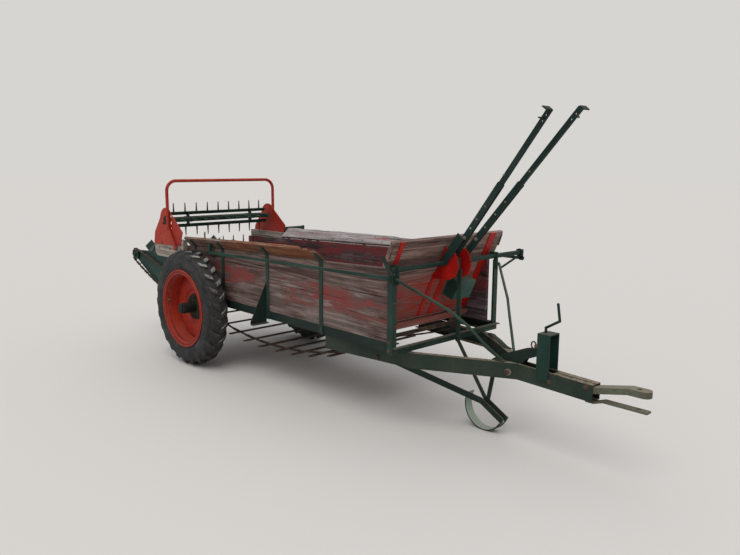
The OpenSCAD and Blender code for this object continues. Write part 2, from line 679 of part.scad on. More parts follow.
module hub(side) color(GREEN) {
    translate([0, 0, axle_z]) rotate([side > 0 ? -90 : 90, 0, 0])
        difference() {
            union() {
                translate([0, 0, hub_in]) cylinder(r = hub_r, h = hub_out - hub_in);
                translate([0, 0, disc_y + seat]) cylinder(r = 110, h = 12);
                translate([0, 0, hub_out]) cylinder(r = 34, h = 12);
            }
            translate([0, 0, hub_in - 1]) cylinder(r = axle_r + fit_gap, h = axle_end + 2 - hub_in + 1);
        }
    if (side < 0) difference() {
        sprocket([0, axle_z, wheel_sprocket_r], -chain_y);
        along_y(0, axle_z, -700, 0, hub_r - 2);
    }
}

// Drives: the wheel's sprocket turns the distributor on the right; on the left two chains join the three rotors
chain_y = box_half + 26;
chain_half = 9;
drive_h = 12;
wheel_sprocket_r = 88;
small_sprocket_r = 60;
DRIVE = [
    [0, axle_z, wheel_sprocket_r, 0, 7, 31],
    [spread_x, spread_z, small_sprocket_r, 55, 5, 31]
];
// The left side's two loops: main beater to distributor, and outside it main beater to upper beater
ROTORS = [[main_x, main_z, 46, 0, 4, 17], [spread_x, spread_z, small_sprocket_r, 12, 5, 17]];
UPPER = [[main_x, main_z, 46, 0, 5, 9], [upper_x, upper_z, 40, 0, 4, 8]];
beater_chain_y = plate_y + plate_t + chain_half + 6;
upper_chain_y = beater_chain_y + 2 * chain_half + 8;
module sprocket(c, y) along_y(c[0], c[1], y - 4, y + 4, c[2] * 0.92 - drive_h / 2 - 1.5);
module drive_chain() color(RUST) chain(DRIVE, -chain_y, chain_half, drive_h);
module beater_chain() color(RUST) {
    chain(ROTORS, beater_chain_y, chain_half, drive_h);
    chain(UPPER, upper_chain_y, chain_half, drive_h);
}

// A reel: shaft, spiders and toothed bars
module reel(x, z, bar_r, reach, bars, teeth, half, right_end) {
    along_y(x, z, -right_end, upper_chain_y + 8, shaft_r);
    for (y = [-half * 0.65, half * 0.65])
        if (bars > 4) along_y(x, z, y - 4, y + 4, bar_r + 5);
        else for (b = [0:bars / 2 - 1]) translate([x, y, z])
            rotate([0, b * 360 / bars, 0]) translate([-22, -5, -bar_r]) cube([44, 10, 2 * bar_r]);
    along_y(x, z, -half * 0.65, half * 0.65, shaft_r + 8);
    for (b = [0:bars - 1])
        translate([x, 0, z]) rotate([0, b * 360 / bars, 0]) {
            translate([-18, -half, bar_r - 3]) cube([36, 2 * half, 7]);
            translate([-18, -half, bar_r - 26]) cube([7, 2 * half, 28]);
            for (t = [0:teeth - 1]) {
                y = (t + (b % 2 == 0 ? 0.35 : 0.65)) * 2 * half / teeth - half;
                translate([0, y, bar_r]) cylinder(r1 = 8, r2 = 4, h = reach - bar_r);
            }
        }
}
module upper_beater() color(GREEN) {
    reel(upper_x, upper_z, 66, upper_reach, 4, 9, plate_y - 32, upper_half);
    sprocket(UPPER[1], upper_chain_y);
}
module main_beater() color(GREEN) {
    reel(main_x, main_z, 110, main_reach, 6, 8, board_in - 20, beater_half);
    sprocket(ROTORS[0], beater_chain_y);
    sprocket(UPPER[0], upper_chain_y);
}
module distributor() color(GREEN) {
    along_y(spread_x, spread_z, -beater_half - 10, beater_chain_y + 8, shaft_r);
    for (i = [-5:5])
        if (i != 0) translate([spread_x, i * (board_in - 75) / 5, spread_z]) rotate([0, i * 60, 0])
            rotate([0, 0, i > 0 ? 35 : -35]) translate([-45, -4, -spread_reach]) cube([90, 8, 2 * spread_reach]);
    sprocket(DRIVE[1], -chain_y);
    sprocket(ROTORS[1], beater_chain_y);
}

// Hand levers with their shafts and cranks; grip is the way the top's tab and latch pin point
module lever_body(slope, len, y, grip) {
    tip = [lever_x + len * cos(slope), lever_z + len * sin(slope)];
    lap = [lever_x + 0.55 * len * cos(slope), lever_z + 0.55 * len * sin(slope)];
    for (dy = [-14, 8])
        bar_xz([lever_x, lever_z], lap, lever_bar_w, y + dy, y + dy + lever_bar_t);
    difference() {
        bar_xz(lap - 40 * [cos(slope), sin(slope)], tip, lever_bar_w - 6, y - 8.2, y + 8.2);
        for (d = [44, 84]) along_y(tip[0] - d * cos(slope), tip[1] - d * sin(slope), y - 20, y + 20, 7);
    }
    translate([tip[0], y, tip[1]]) rotate([0, -slope, 0]) {
        translate([-2, grip > 0 ? 0 : -70, -lever_bar_w / 2 + 4]) cube([7, 70, lever_bar_w - 8]);
        translate([-64, 0, 0]) rotate([grip > 0 ? -90 : 90, 0, 0]) cylinder(r = 5, h = 58);
    }
    along_y(lever_x, lever_z, y - 20, y + 20, lever_shaft_r + 14);
}
module crank_arm(y0, y1, x, z) bar_xz([x, z + 22], [x, z - crank_len - 14], 30, y0, y1);
module lever_right() color(GREEN) {
    lever_body(lever_slope_right, lever_len_right, lever_y_right, -1);
    stub = 240 * [cos(lever_slope_right), sin(lever_slope_right)];
    bar_xz([lever_x, lever_z], [lever_x, lever_z] + stub, 56, lever_y_right - 74, lever_y_right - 66);
    along_y(lever_x + 0.84 * stub[0], lever_z + 0.84 * stub[1], lever_y_right - 70, lever_y_right - 10, 8);
    along_y(lever_x, lever_z, -rod_side_y + 12, lever_y_right + 22, lever_shaft_r);
    crank_arm(-rod_side_y + 12, -rod_side_y + 20, lever_x, lever_z);
    along_y(lever_x, lever_z - crank_len, -rod_side_y - 12, -rod_side_y + 14, 7);
}
far_end = 840;
module lever_left() color(GREEN) {
    lever_body(lever_slope_left, lever_len_left, lever_y_left, 1);
    along_y(lever_x, lever_z, strut_y + 4, far_end, lever_shaft_r);
    crank_arm(far_end - 8, far_end, lever_x, lever_z);
    along_y(lever_x, lever_z - crank_len, far_end - 10, far_end + 18, 7);
}
rear_x_right = 180;
rear_x_left = -330;
rod_z = lever_z - crank_len;
rear_z_right = lever_z - rod_drop;
// Stay from the left post to a ring on the left shaft's outer part
stay_y = far_end - 34;
module shaft_stay() color(GREEN) difference() {
    union() {
        along_y(lever_x, lever_z, stay_y - 6, stay_y + 6, lever_shaft_r + 12);
        rod_between([lever_x, stay_y, lever_z - lever_shaft_r - 6], [lever_x + steel_t + 9, post_y + 9.5, post_top - 62], 8);
    }
    along_y(lever_x, lever_z, stay_y - 12, stay_y + 12, lever_shaft_r + fit_gap);
}
module linkage_rod(y, x1, drop) difference() {
    union() {
        bar_xz([x1, rod_z - drop], [lever_x, rod_z], 22, y - 3.5, y + 3.5);
        along_y(x1, rod_z - drop, y - 4, y + 4, 16);
        along_y(lever_x, rod_z, y - 4, y + 4, 16);
    }
    along_y(x1, rod_z - drop, y - 5, y + 5, 7 + fit_gap);
    along_y(lever_x, rod_z, y - 5, y + 5, 7 + fit_gap);
}
module rod_right() color(GREEN) linkage_rod(-rod_side_y, rear_x_right, rod_drop);
module rod_left() color(GREEN) linkage_rod(far_end + 8, rear_x_left, 0);
rear_pin_r = 10;
rear_plate_y = box_half + 30;
module rear_arm_right() color(GREEN) {
    crank_arm(-rod_side_y + 12, -rod_side_y + 20, rear_x_right, rear_z_right);
    along_y(rear_x_right, rod_z - rod_drop, -rod_side_y - 12, -rod_side_y + 14, 7);
    along_y(rear_x_right, rear_z_right, -rod_side_y + 14, -rear_plate_y, rear_pin_r);
}
module rear_arm_left() color(GREEN) {
    crank_arm(far_end - 8, far_end, rear_x_left, lever_z);
    along_y(rear_x_left, rod_z, far_end - 10, far_end + 18, 7);
    along_y(rear_x_left, lever_z, plate_y + plate_t + 10, far_end - 4, rear_pin_r);
}
// Carriers of the rear arms: a plate below the right flare, a sleeve off the left end plate
sleeve_y = plate_y + plate_t + seat;
sleeve_end = far_end - 26;
module rear_brackets() color(GREEN) {
    difference() {
        union() {
            translate([rear_x_right - 18, -rear_plate_y - 8, rear_z_right - 70]) cube([36, 8, 86]);
            translate([rear_x_right - 18, -rear_plate_y - 8, rear_z_right - 70])
                cube([36, rear_plate_y + 8 - box_half - seat, 10]);
        }
        along_y(rear_x_right, rear_z_right, -rear_plate_y - 50, -box_half, rear_pin_r + fit_gap);
    }
    difference() {
        union() {
            along_y(rear_x_left, lever_z, sleeve_y, sleeve_end, 20);
            translate([rear_x_left, 0, 0]) rotate([0, 0, 90]) plate_xz(-4, 4, [
                [sleeve_y, side_top - 55], [sleeve_y + 40, side_top - 55],
                [sleeve_end - 40, lever_z], [sleeve_y, lever_z]
            ]);
        }
        along_y(rear_x_left, lever_z, sleeve_y - 1, sleeve_end + 1, rear_pin_r + fit_gap);
    }
}

// Parking stand: two legs that run together, a runner below them and a link to the jack's arm
leg_w = 40;
leg_t = 8;
leg_y = 24;
leg_top_y = tongue_y(stand_x) - 50;
knee = [foot_x - 25, foot_r + 38];
toe = [foot_x + 145, 95];
leg_slope = atan2(toe[1] - knee[1], toe[0] - knee[0]);
link_x = foot_x + 5;
link_z = knee[1] + (link_x - knee[0]) * tan(leg_slope);
module bar_between(a, b, w, t) {
    d = b - a;
    translate(a) rotate([0, -atan2(d[2], norm([d[0], d[1]])), atan2(d[1], d[0])])
        translate([0, -t / 2, -w / 2]) cube([norm(d), t, w]);
}
module stand_legs() color(GREEN)
    for (s = [-1, 1]) mirror([0, s > 0 ? 1 : 0, 0]) difference() {
        union() {
            bar_between([stand_x, -leg_top_y, stand_z], [knee[0], -leg_y, knee[1]], leg_w, leg_t);
            bar_between([knee[0] - 12, -leg_y, knee[1] + 6], [toe[0], -leg_y, toe[1]], leg_w - 1, leg_t + 0.6);
            along_y(stand_x, stand_z, -leg_top_y - 12, -leg_top_y + 12, 17);
        }
        along_y(stand_x, stand_z, -box_half, 0, stand_pin_r + fit_gap);
        along_y(link_x, link_z, -box_half, 0, link_pin_r + fit_gap);
    }
foot_t = 8;
foot_mid = foot_x;
module stand_foot() color(GREEN) difference() {
    along_y(foot_mid, foot_r, -foot_w / 2, foot_w / 2, foot_r);
    along_y(foot_mid, foot_r, -foot_w / 2 - 1, foot_w / 2 + 1, foot_r - foot_t);
    translate([knee[0], -foot_w, knee[1]]) rotate([0, -leg_slope, 0])
        translate([-400, 0, -leg_w / 2 - seat]) cube([800, 2 * foot_w, 600]);
}
// Arm of the jack: two plates on a pin through the tongue, with the stand's link at their rear
arm_x = tongue_join_x - 48;
arm_z = tongue_z(arm_x) - 58;
pin_out = tongue_nose_y + (tongue_bend_y - tongue_nose_y) * (tongue_join_x - arm_x)
    / (tongue_join_x - tongue_bend_x) + 19;
arm_rear = [arm_x - 146, arm_z + 22];
arm_front = [screw_x - 6, jack_top - 118];
arm_plate_y = 17;
arm_plate_t = 8;
link_pin_r = 8;
open_pin_r = 12;
ARM = [
    arm_rear + [-22, 6], arm_rear + [-14, -18], [arm_x - 20, arm_z - 24], [arm_x + 24, arm_z - 18],
    [arm_x + 86, arm_z + 88], arm_front + [-6, -22], arm_front + [14, -8], arm_front + [14, 12],
    arm_front + [-6, 22], [arm_x + 70, arm_z + 150], [arm_x - 70, arm_z + 92], arm_rear + [-8, 22]
];
module jack_arm() color(GREEN) difference() {
    union() {
        for (y = [arm_plate_y, -arm_plate_y - arm_plate_t]) plate_xz(y, y + arm_plate_t, ARM);
        along_y(arm_x, arm_z, -arm_plate_y - arm_plate_t, arm_plate_y + arm_plate_t, arm_pin_r + 8);
    }
    along_y(arm_x, arm_z, -60, 60, arm_pin_r + fit_gap);
    along_y(arm_rear[0], arm_rear[1], -60, 60, open_pin_r);
}
// Link between the stand and the arm: one bar, its pins across it
module stand_link() color(GREEN) {
    bar_xz(arm_rear, [link_x, link_z], 26, -5, 5);
    along_y(arm_rear[0], arm_rear[1], -5, 5, 16);
    along_y(arm_rear[0], arm_rear[1], -arm_plate_y - arm_plate_t - 3, arm_plate_y + arm_plate_t + 3, link_pin_r);
    along_y(link_x, link_z, -5, 5, 16);
    along_y(link_x, link_z, -leg_y - 10, leg_y + 10, link_pin_r);
}

placed() sills();
placed() cross_sills();
placed() axle();
placed() axle_brackets();
placed() tongue_beams();
placed() tongue_blocks();
placed() tongue_pins();
placed() hitch_bar();
placed() hitch_strap();
placed() jack_post();
placed() jack_screw();
placed() front_frame();
placed() brace_rods();
placed() front_panel();
placed() panel_straps();
placed() quadrants();
placed() tool_box();
placed() side_boards(1);  // side_left
placed() side_boards(-1);  // side_right
placed() flare(1);  // flare_left
placed() flare(-1);  // flare_right
placed() standards();
placed() gussets();
placed() floor_boards();  // floor
placed() apron_chains();
placed() apron_slats();
placed() apron_shafts();
placed() end_plates();
placed() rear_planks();
placed() arch();
placed() spreader_arms();
placed() drive_chain();
placed() beater_chain();
placed() rear_brackets();
placed() shaft_stay();
placed() tyre(1);  // tyre_left
placed() rim(1);  // rim_left
placed() hub(1);  // hub_left
placed() tyre(-1);  // tyre_right
placed() rim(-1);  // rim_right
placed() hub(-1);  // hub_right
placed() upper_beater();
placed() main_beater();
placed() distributor();
placed() lever_left();
placed() lever_right();
placed() rod_left();
placed() rod_right();
placed() rear_arm_left();
placed() rear_arm_right();
placed() stand_legs();
placed() stand_foot();
placed() stand_link();
placed() jack_arm();
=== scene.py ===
"""Looks of a ground-driven manure spreader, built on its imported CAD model."""

import math
import random
from collections import namedtuple

import bmesh
import bpy
from mathutils import Matrix, Vector


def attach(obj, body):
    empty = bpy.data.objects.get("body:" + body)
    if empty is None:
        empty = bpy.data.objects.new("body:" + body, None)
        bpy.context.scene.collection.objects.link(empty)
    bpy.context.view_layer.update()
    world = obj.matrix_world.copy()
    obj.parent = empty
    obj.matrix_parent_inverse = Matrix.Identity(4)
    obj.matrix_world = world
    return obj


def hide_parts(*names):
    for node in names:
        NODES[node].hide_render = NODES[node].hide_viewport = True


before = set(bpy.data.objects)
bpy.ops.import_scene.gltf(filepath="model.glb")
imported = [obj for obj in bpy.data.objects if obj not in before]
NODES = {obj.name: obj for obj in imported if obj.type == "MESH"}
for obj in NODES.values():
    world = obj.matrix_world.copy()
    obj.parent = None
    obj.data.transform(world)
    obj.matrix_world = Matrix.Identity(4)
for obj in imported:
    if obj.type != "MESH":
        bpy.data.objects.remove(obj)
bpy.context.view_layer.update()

# The row's origin is the hitch pin hole; sizes below are metres from the axle's middle and the ground
HITCH_X, HITCH_Z = 3.650, 0.497
GROUND = -HITCH_Z

# Driving sizes, as in the CAD model
WHEEL_Y = 0.640
TYRE_R = 0.489
BOX_HALF = 0.500
DECK_Z = 0.588
SIDE_TOP = 1.040
SILL_BOTTOM = 0.523
BOARD_PITCH = 0.1507
STANDARDS = (-0.13, 0.31, 0.935, 1.575)

RIGHT, LEFT, AHEAD, UP = (0, -1, 0), (0, 1, 0), (1, 0, 0), (0, 0, 1)
SIDES = ((-1, "right"), (1, "left"))


def at(x, y, z):
    """A point given from the axle and the ground, in the row's frame."""
    return Vector((x - HITCH_X, y, z - HITCH_Z))


# Camera
CAMERA_PLACE = (5.2393, -3.5194, 1.7054)
CAMERA_TURN, CAMERA_PITCH, CAMERA_ROLL = 46.428, 9.3504, 0.337
FOCAL_PIXELS, PICTURE_WIDTH, SENSOR_WIDTH = 692.27, 740, 36
FAR_CLIP = 200


def make_camera():
    turn, pitch, roll = (math.radians(a) for a in (CAMERA_TURN, CAMERA_PITCH, CAMERA_ROLL))
    ahead = Vector((-math.sin(turn) * math.cos(pitch), math.cos(turn) * math.cos(pitch), -math.sin(pitch)))
    right = Vector((math.cos(turn), math.sin(turn), 0))
    up = right.cross(ahead)
    right, up = right * math.cos(roll) + up * math.sin(roll), up * math.cos(roll) - right * math.sin(roll)
    camera = bpy.data.objects.new("camera", bpy.data.cameras.new("camera"))
    camera.data.lens = FOCAL_PIXELS / PICTURE_WIDTH * SENSOR_WIDTH
    camera.data.clip_end = FAR_CLIP
    turned_to = Matrix((right, up, -ahead)).transposed().to_4x4()
    camera.matrix_world = Matrix.Translation(at(*CAMERA_PLACE)) @ turned_to
    bpy.context.scene.collection.objects.link(camera)
    bpy.context.scene.camera = camera


make_camera()


# Materials
def srgb(*colour):
    """A colour of 0 to 255 as a linear one."""
    dark = 11
    linear = [c / 255 / 12.92 if c < dark else ((c / 255 + 0.055) / 1.055) ** 2.4 for c in colour]
    return (*linear, 1)


class Looks:
    """One procedural material, with short calls for its nodes."""

    def __init__(self, name, rough=0.6, metallic=0.0, gloss=0.2):
        self.material = bpy.data.materials.new(name)
        self.material.use_nodes = True
        self.tree = self.material.node_tree
        self.shader = self.tree.nodes["Principled BSDF"]
        self.shader.inputs["Roughness"].default_value = rough
        self.shader.inputs["Metallic"].default_value = metallic
        self.shader.inputs["Specular IOR Level"].default_value = gloss
        coordinates = self.add("ShaderNodeTexCoord")
        self.place, self.facing = coordinates.outputs["Object"], coordinates.outputs["Normal"]
        self.x, self.y, self.z = self.add("ShaderNodeSeparateXYZ", {0: self.place}).outputs
        self.up = self.add("ShaderNodeSeparateXYZ", {0: self.facing}).outputs[2]

    def add(self, kind, inputs=None, **settings):
        """A node with its inputs, each a value or another node's output, and its settings."""
        node = self.tree.nodes.new(kind)
        for key, value in settings.items():
            setattr(node, key, value)
        for key, value in (inputs or {}).items():
            if isinstance(value, bpy.types.NodeSocket):
                self.tree.links.new(value, node.inputs[key])
            else:
                node.inputs[key].default_value = value
        return node

    def math(self, operation, a, b=0.0):
        return self.add("ShaderNodeMath", {0: a, 1: b}, operation=operation).outputs[0]

    def times(self, a, b):
        return self.math("MULTIPLY", a, b)

    def noise(self, scale=1.0, stretch=(1, 1, 1), detail=5.0, rough=0.6, shift=(0, 0, 0), warp=0.0):
        mapped = self.add("ShaderNodeMapping", {0: self.place, 1: shift, 3: stretch}).outputs[0]
        return self.add("ShaderNodeTexNoise", {
            "Vector": mapped, "Scale": scale, "Detail": detail, "Roughness": rough, "Distortion": warp
        }).outputs[0]

    def spread(self, value, low, high):
        """0 below low, 1 above high, smooth between."""
        node = self.add("ShaderNodeMapRange", {0: value, 1: low, 2: high, 3: 0.0, 4: 1.0})
        node.interpolation_type = "SMOOTHSTEP"
        return node.outputs[0]

    def blend(self, a, b, share_a, share_b):
        """A sum of two values, each with its share."""
        return self.math("ADD", self.times(a, share_a), self.times(b, share_b))

    def ramp(self, value, *stops):
        node = self.add("ShaderNodeValToRGB", {0: value})
        bar = node.color_ramp.elements
        while len(bar) < len(stops):
            bar.new(0.5)
        for element, (place, colour) in zip(bar, stops):
            element.position, element.color = place, colour
        return node.outputs[0]

    def mix(self, share, a, b, blend="MIX"):
        node = self.add("ShaderNodeMix", {0: share, 6: a, 7: b}, data_type="RGBA", blend_type=blend)
        return node.outputs[2]

    def band(self, value, middle, half, soft):
        """1 near middle, falling to 0 past half on both sides."""
        away = self.math("ABSOLUTE", self.math("SUBTRACT", value, middle))
        return self.math("SUBTRACT", 1.0, self.spread(away, half, half + soft))

    def edges(self, radius=0.004, low=0.02, high=0.25):
        """1 on outside and inside edges."""
        bevel = self.add("ShaderNodeBevel", {0: radius}, samples=3).outputs[0]
        true = self.add("ShaderNodeNewGeometry").outputs["Normal"]
        dot = self.add("ShaderNodeVectorMath", {0: bevel, 1: true}, operation="DOT_PRODUCT").outputs["Value"]
        return self.spread(self.math("SUBTRACT", 1.0, dot), low, high)

    def from_axle(self):
        """How far a place lies from the wheels' axis."""
        across = self.add("ShaderNodeCombineXYZ", {
            0: self.math("ADD", self.x, HITCH_X), 1: 0.0, 2: self.math("SUBTRACT", self.z, TYRE_R - HITCH_Z)})
        return self.add("ShaderNodeVectorMath", {0: across.outputs[0]}, operation="LENGTH").outputs["Value"]

    def finish(self, colour, rough=None, bump=None, depth=0.002, strength=0.5):
        self.tree.links.new(colour, self.shader.inputs["Base Color"])
        if rough is not None:
            self.tree.links.new(rough, self.shader.inputs["Roughness"])
        if bump is not None:
            node = self.add("ShaderNodeBump", {"Height": bump, "Distance": depth, "Strength": strength})
            self.tree.links.new(node.outputs[0], self.shader.inputs["Normal"])
        return self.material


BROWN_RUST = srgb(92, 58, 42)
RED_RUST = srgb(92, 46, 38)
DARK_RUST = srgb(58, 42, 36)
DUST = srgb(168, 150, 128)
GRIME = srgb(24, 30, 28)
RIM_SHADE_AND_GRIME = srgb(52, 22, 18)
PALE_LINING = srgb(150, 162, 150)

# Rings of painted shade and grime on a rim, in the grooves by its beads, at its disc's edge and over the
# disc: inner radius, outer radius and share of darkening
RIM_SHADE_AND_GRIME_RINGS = ((0.301, 0.318, 0.75), (0.278, 0.2935, 0.8), (0.240, 0.276, 0.45), (0.0, 0.256, 0.28))
HOLLOW_SOFT = 0.003
# The way that the runner's lined inner face looks
LINED_WAY = (0.6, 0.0, 0.8)


def with_lining(m, base, fine, lining):
    """Another colour on faces that look up and ahead."""
    toward = m.add("ShaderNodeVectorMath", {0: m.facing, 1: LINED_WAY}, operation="DOT_PRODUCT")
    share = m.times(m.spread(toward.outputs["Value"], 0.0, 0.25), m.spread(fine, 0.1, 0.45))
    return m.mix(share, base, lining)


def with_shade_and_grime_rings(m, base, fine, shade_and_grime_rings):
    """Painted shade and grime in rings about the wheels' axis."""
    reach = m.from_axle()
    shade_and_grime = 0.0
    for inner, outer, share in shade_and_grime_rings:
        past_inner = m.spread(reach, inner - HOLLOW_SOFT, inner + HOLLOW_SOFT)
        before_outer = m.spread(reach, outer + HOLLOW_SOFT, outer - HOLLOW_SOFT)
        shade_and_grime = m.math("MAXIMUM", shade_and_grime, m.times(m.times(past_inner, before_outer), share))
    return m.mix(m.times(shade_and_grime, m.spread(fine, 0.15, 0.5)), base, RIM_SHADE_AND_GRIME)


def painted(name, colour, faded, rust=0.3, worn=0.5, dust=0.35, rust_colour=BROWN_RUST, rough=0.55, shift=0.0,
            lining=None, shade_and_grime_rings=()):
    """Old brushed paint: faded patches, rust spots, bare worn edges, dust on what faces up."""
    m = Looks(name, rough)
    move = (shift, shift * 0.7, shift * 0.3)
    broad = m.noise(3.1, detail=4, shift=move)
    fine = m.noise(38, detail=6, rough=0.65, shift=move)
    speck = m.noise(150, detail=3, shift=move)
    base = m.mix(m.spread(broad, 0.35, 0.68), colour, faded)
    base = m.mix(m.times(m.spread(fine, 0.45, 0.75), 0.35), base, GRIME)
    spots = m.spread(m.blend(fine, broad, 0.6, 0.5), 0.86 - 0.32 * rust, 0.94 - 0.32 * rust)
    edge = m.times(m.edges(), m.spread(fine, 0.62 - 0.3 * worn, 0.72 - 0.2 * worn))
    bare = m.math("MAXIMUM", spots, edge)
    if lining:
        base = with_lining(m, base, fine, lining)
    base = m.mix(bare, base, m.mix(m.spread(speck, 0.35, 0.65), rust_colour, DARK_RUST))
    # Rings of painted shade and grime on a rim's grooves and disc, where a table of them is given
    if shade_and_grime_rings:
        base = with_shade_and_grime_rings(m, base, fine, shade_and_grime_rings)
    settled = m.times(m.spread(m.up, 0.45, 0.95), m.spread(fine, 0.25, 0.65))
    base = m.mix(m.times(settled, dust), base, DUST)
    roughness = m.math("ADD", rough, m.times(m.math("MAXIMUM", bare, settled), 0.3))
    height = m.math("SUBTRACT", m.times(speck, 0.35), m.times(bare, 0.6))
    return m.finish(base, roughness, height, depth=0.0012, strength=0.6)


WORN_EDGE = srgb(150, 138, 124)


def bare_steel(name, colour=srgb(74, 60, 52), second=srgb(46, 38, 34), light=srgb(128, 104, 84), rough=0.7,
               metallic=0.25):
    """Rusty bare steel with a pitted surface."""
    m = Looks(name, rough, metallic)
    broad, fine = m.noise(9, detail=5), m.noise(85, detail=6, rough=0.7)
    base = m.ramp(m.blend(broad, fine, 0.5, 0.5), (0.32, second), (0.5, colour), (0.68, light))
    base = m.mix(m.times(m.edges(0.003), 0.45), base, WORN_EDGE)
    return m.finish(base, m.spread(fine, -0.4, 0.9), fine, depth=0.001, strength=0.7)


BLEACHED = srgb(178, 172, 166)
RUST_STAIN = srgb(138, 80, 50)
SPLINTERED = srgb(196, 184, 172)
CRACK = srgb(38, 30, 28)
ALONG_X, ALONG_Y = 0, 1

# Heights up a wall: the first board's foot, a board's height, and the band that keeps most of its paint
Boards = namedtuple("Boards", "start pitch band_middle band_half")


def board_tone(m, boards, shift):
    """A chance value for each board."""
    number = m.math("FLOOR", m.math("DIVIDE", m.math("SUBTRACT", m.z, boards.start - HITCH_Z), boards.pitch))
    tone = m.add("ShaderNodeTexWhiteNoise", {"W": m.math("ADD", number, shift)}, noise_dimensions="1D")
    return tone.outputs[0]


def planks(name, light, middle, dark, paint, boards, paint_share=1.0, grain=ALONG_X, bleach=0.3, rusty=0.0,
           shift=0.0):
    """Weathered boards with what is left of their paint. Most of it stays with a paint_share above 1, and
    bleach and rusty are the strengths of the pale and the brown patches."""
    m = Looks(name, 0.85, gloss=0.1)
    move = (shift, shift * 1.3, shift * 0.7)

    def streaks(length, across, detail, rough, moved=move, warp=0.0):
        """Noise drawn out along the grain."""
        stretch = (length, across, across) if grain == ALONG_X else (across, length, across)
        return m.noise(1.0, stretch, detail, rough, moved, warp)

    figure = streaks(1.6, 26, 7, 0.62, warp=0.9)
    fibre = streaks(5, 170, 4, 0.7)
    cracks = streaks(1.1, 75, 3, 0.5, warp=0.35)
    wood = m.ramp(m.blend(figure, fibre, 0.62, 0.38), (0.37, dark), (0.5, middle), (0.61, light))
    wood = m.mix(m.times(board_tone(m, boards, shift), 0.35), wood, light, "SOFT_LIGHT")
    blotch = m.noise(2.2, detail=4, shift=move)
    wood = m.mix(m.times(m.spread(blotch, 0.45, 0.75), bleach), wood, BLEACHED)
    if rusty:
        stain = streaks(2.2, 9, 4, 0.6, (3, 1, 2))
        wood = m.mix(m.times(m.spread(stain, 0.42, 0.6), rusty), wood, RUST_STAIN)

    left = m.blend(streaks(2.6, 17, 6, 0.68), fibre, 0.7, 0.3)
    limit = 0.63 - 0.17 * paint_share
    zone = m.band(m.z, boards.band_middle - HITCH_Z, boards.band_half, 0.09)
    flakes = m.times(m.spread(left, limit, limit + 0.055), zone)
    wood = m.mix(flakes, wood, m.mix(m.spread(fibre, 0.35, 0.62), paint, middle))

    worn = m.times(m.edges(0.006, 0.03, 0.2), m.spread(m.noise(9, detail=4, shift=move), 0.42, 0.62))
    wood = m.mix(m.times(worn, 0.7), wood, SPLINTERED)
    split = m.spread(cracks, 0.35, 0.31)
    wood = m.mix(m.times(split, 0.85), wood, CRACK)
    height = m.math("SUBTRACT", m.blend(fibre, figure, 0.5, 0.8), split)
    return m.finish(wood, None, height, depth=0.0035, strength=0.75)


# Radii of the tyre's parts for its looks
LUG_TOP = (0.474, 0.484)
LUG_FOOT = 0.462
SIDEWALL = (0.46, 0.40)
RIB_RADIUS, RIB_HALF, RIBS_PER_METRE = 0.352, 0.012, 900.0
# Dust on the lugs' tops grows over this stretch, from just behind the axle forward
DUSTY_FROM, DUSTY_TO = -3.68, -3.45


def rubber():
    """Old tyre rubber, grey with dust on the lugs' tops and in their feet."""
    m = Looks("tyre_rubber", 0.8)
    fine, broad = m.noise(60, detail=6, rough=0.7), m.noise(4.5, detail=4)
    reach = m.from_axle()
    base = m.mix(m.spread(broad, 0.3, 0.7), srgb(36, 37, 39), srgb(56, 57, 59))
    lug_top = m.times(m.spread(reach, *LUG_TOP), m.spread(fine, 0.3, 0.6))
    base = m.mix(m.times(lug_top, 0.3), base, srgb(92, 90, 88))
    dusty = m.times(m.times(lug_top, m.spread(m.up, 0.2, 0.8)), m.spread(m.x, DUSTY_FROM, DUSTY_TO))
    base = m.mix(m.times(dusty, 0.85), base, srgb(176, 172, 166))
    foot = m.times(m.band(reach, LUG_FOOT, 0.006, 0.008), m.spread(fine, 0.35, 0.6))
    base = m.mix(m.times(foot, 0.4), base, srgb(88, 82, 74))
    side = m.times(m.spread(reach, *SIDEWALL), m.spread(m.noise(14, detail=5), 0.4, 0.7))
    base = m.mix(m.times(side, 0.3), base, srgb(96, 92, 86))
    ribs = m.math("SINE", m.times(reach, RIBS_PER_METRE))
    rib_zone = m.times(ribs, m.band(reach, RIB_RADIUS, RIB_HALF, 0.004))
    return m.finish(base, m.spread(fine, -0.8, 0.9), m.blend(fine, rib_zone, 0.6, 0.4), depth=0.0015)


green = painted("green_paint", srgb(22, 48, 42), srgb(36, 66, 58), rust=0.22, worn=0.6, dust=0.2)
# Painted shade: a darker copy of the frame's green paint, for the sills, cross sills and gussets
shaded_green_sill = painted(
    "shaded_green_sill", srgb(19, 33, 29), srgb(32, 48, 42), rust=0.2, worn=0.6, dust=0.25, shift=2)
green_frame = painted(
    "green_frame", srgb(29, 52, 45), srgb(49, 72, 62), rust=0.2, worn=0.6, dust=0.3, shift=3)
green_tongue = painted(
    "green_tongue", srgb(34, 48, 40), srgb(50, 60, 50), rust=0.5, worn=0.75, dust=0.65,
    rust_colour=srgb(94, 68, 54), shift=5)
green_reel = painted(
    "green_reel", srgb(20, 44, 36), srgb(34, 66, 54), rust=0.3, worn=0.8, dust=0.25, shift=7)
green_stand = painted(
    "green_stand", srgb(24, 40, 35), srgb(40, 58, 50), rust=0.25, worn=0.8, dust=0.25, shift=9)
green_foot = painted(
    "green_foot", srgb(26, 40, 34), srgb(38, 52, 44), rust=0.35, worn=0.8, dust=0.2, shift=10,
    lining=PALE_LINING)
green_hitch = painted(
    "green_hitch", srgb(84, 84, 70), srgb(104, 112, 94), rust=0.75, worn=0.9, dust=0.4,
    rust_colour=srgb(98, 72, 58), shift=12)
green_box = painted(
    "green_box", srgb(38, 72, 62), srgb(66, 102, 90), rust=0.12, worn=0.4, dust=0.3, shift=11)
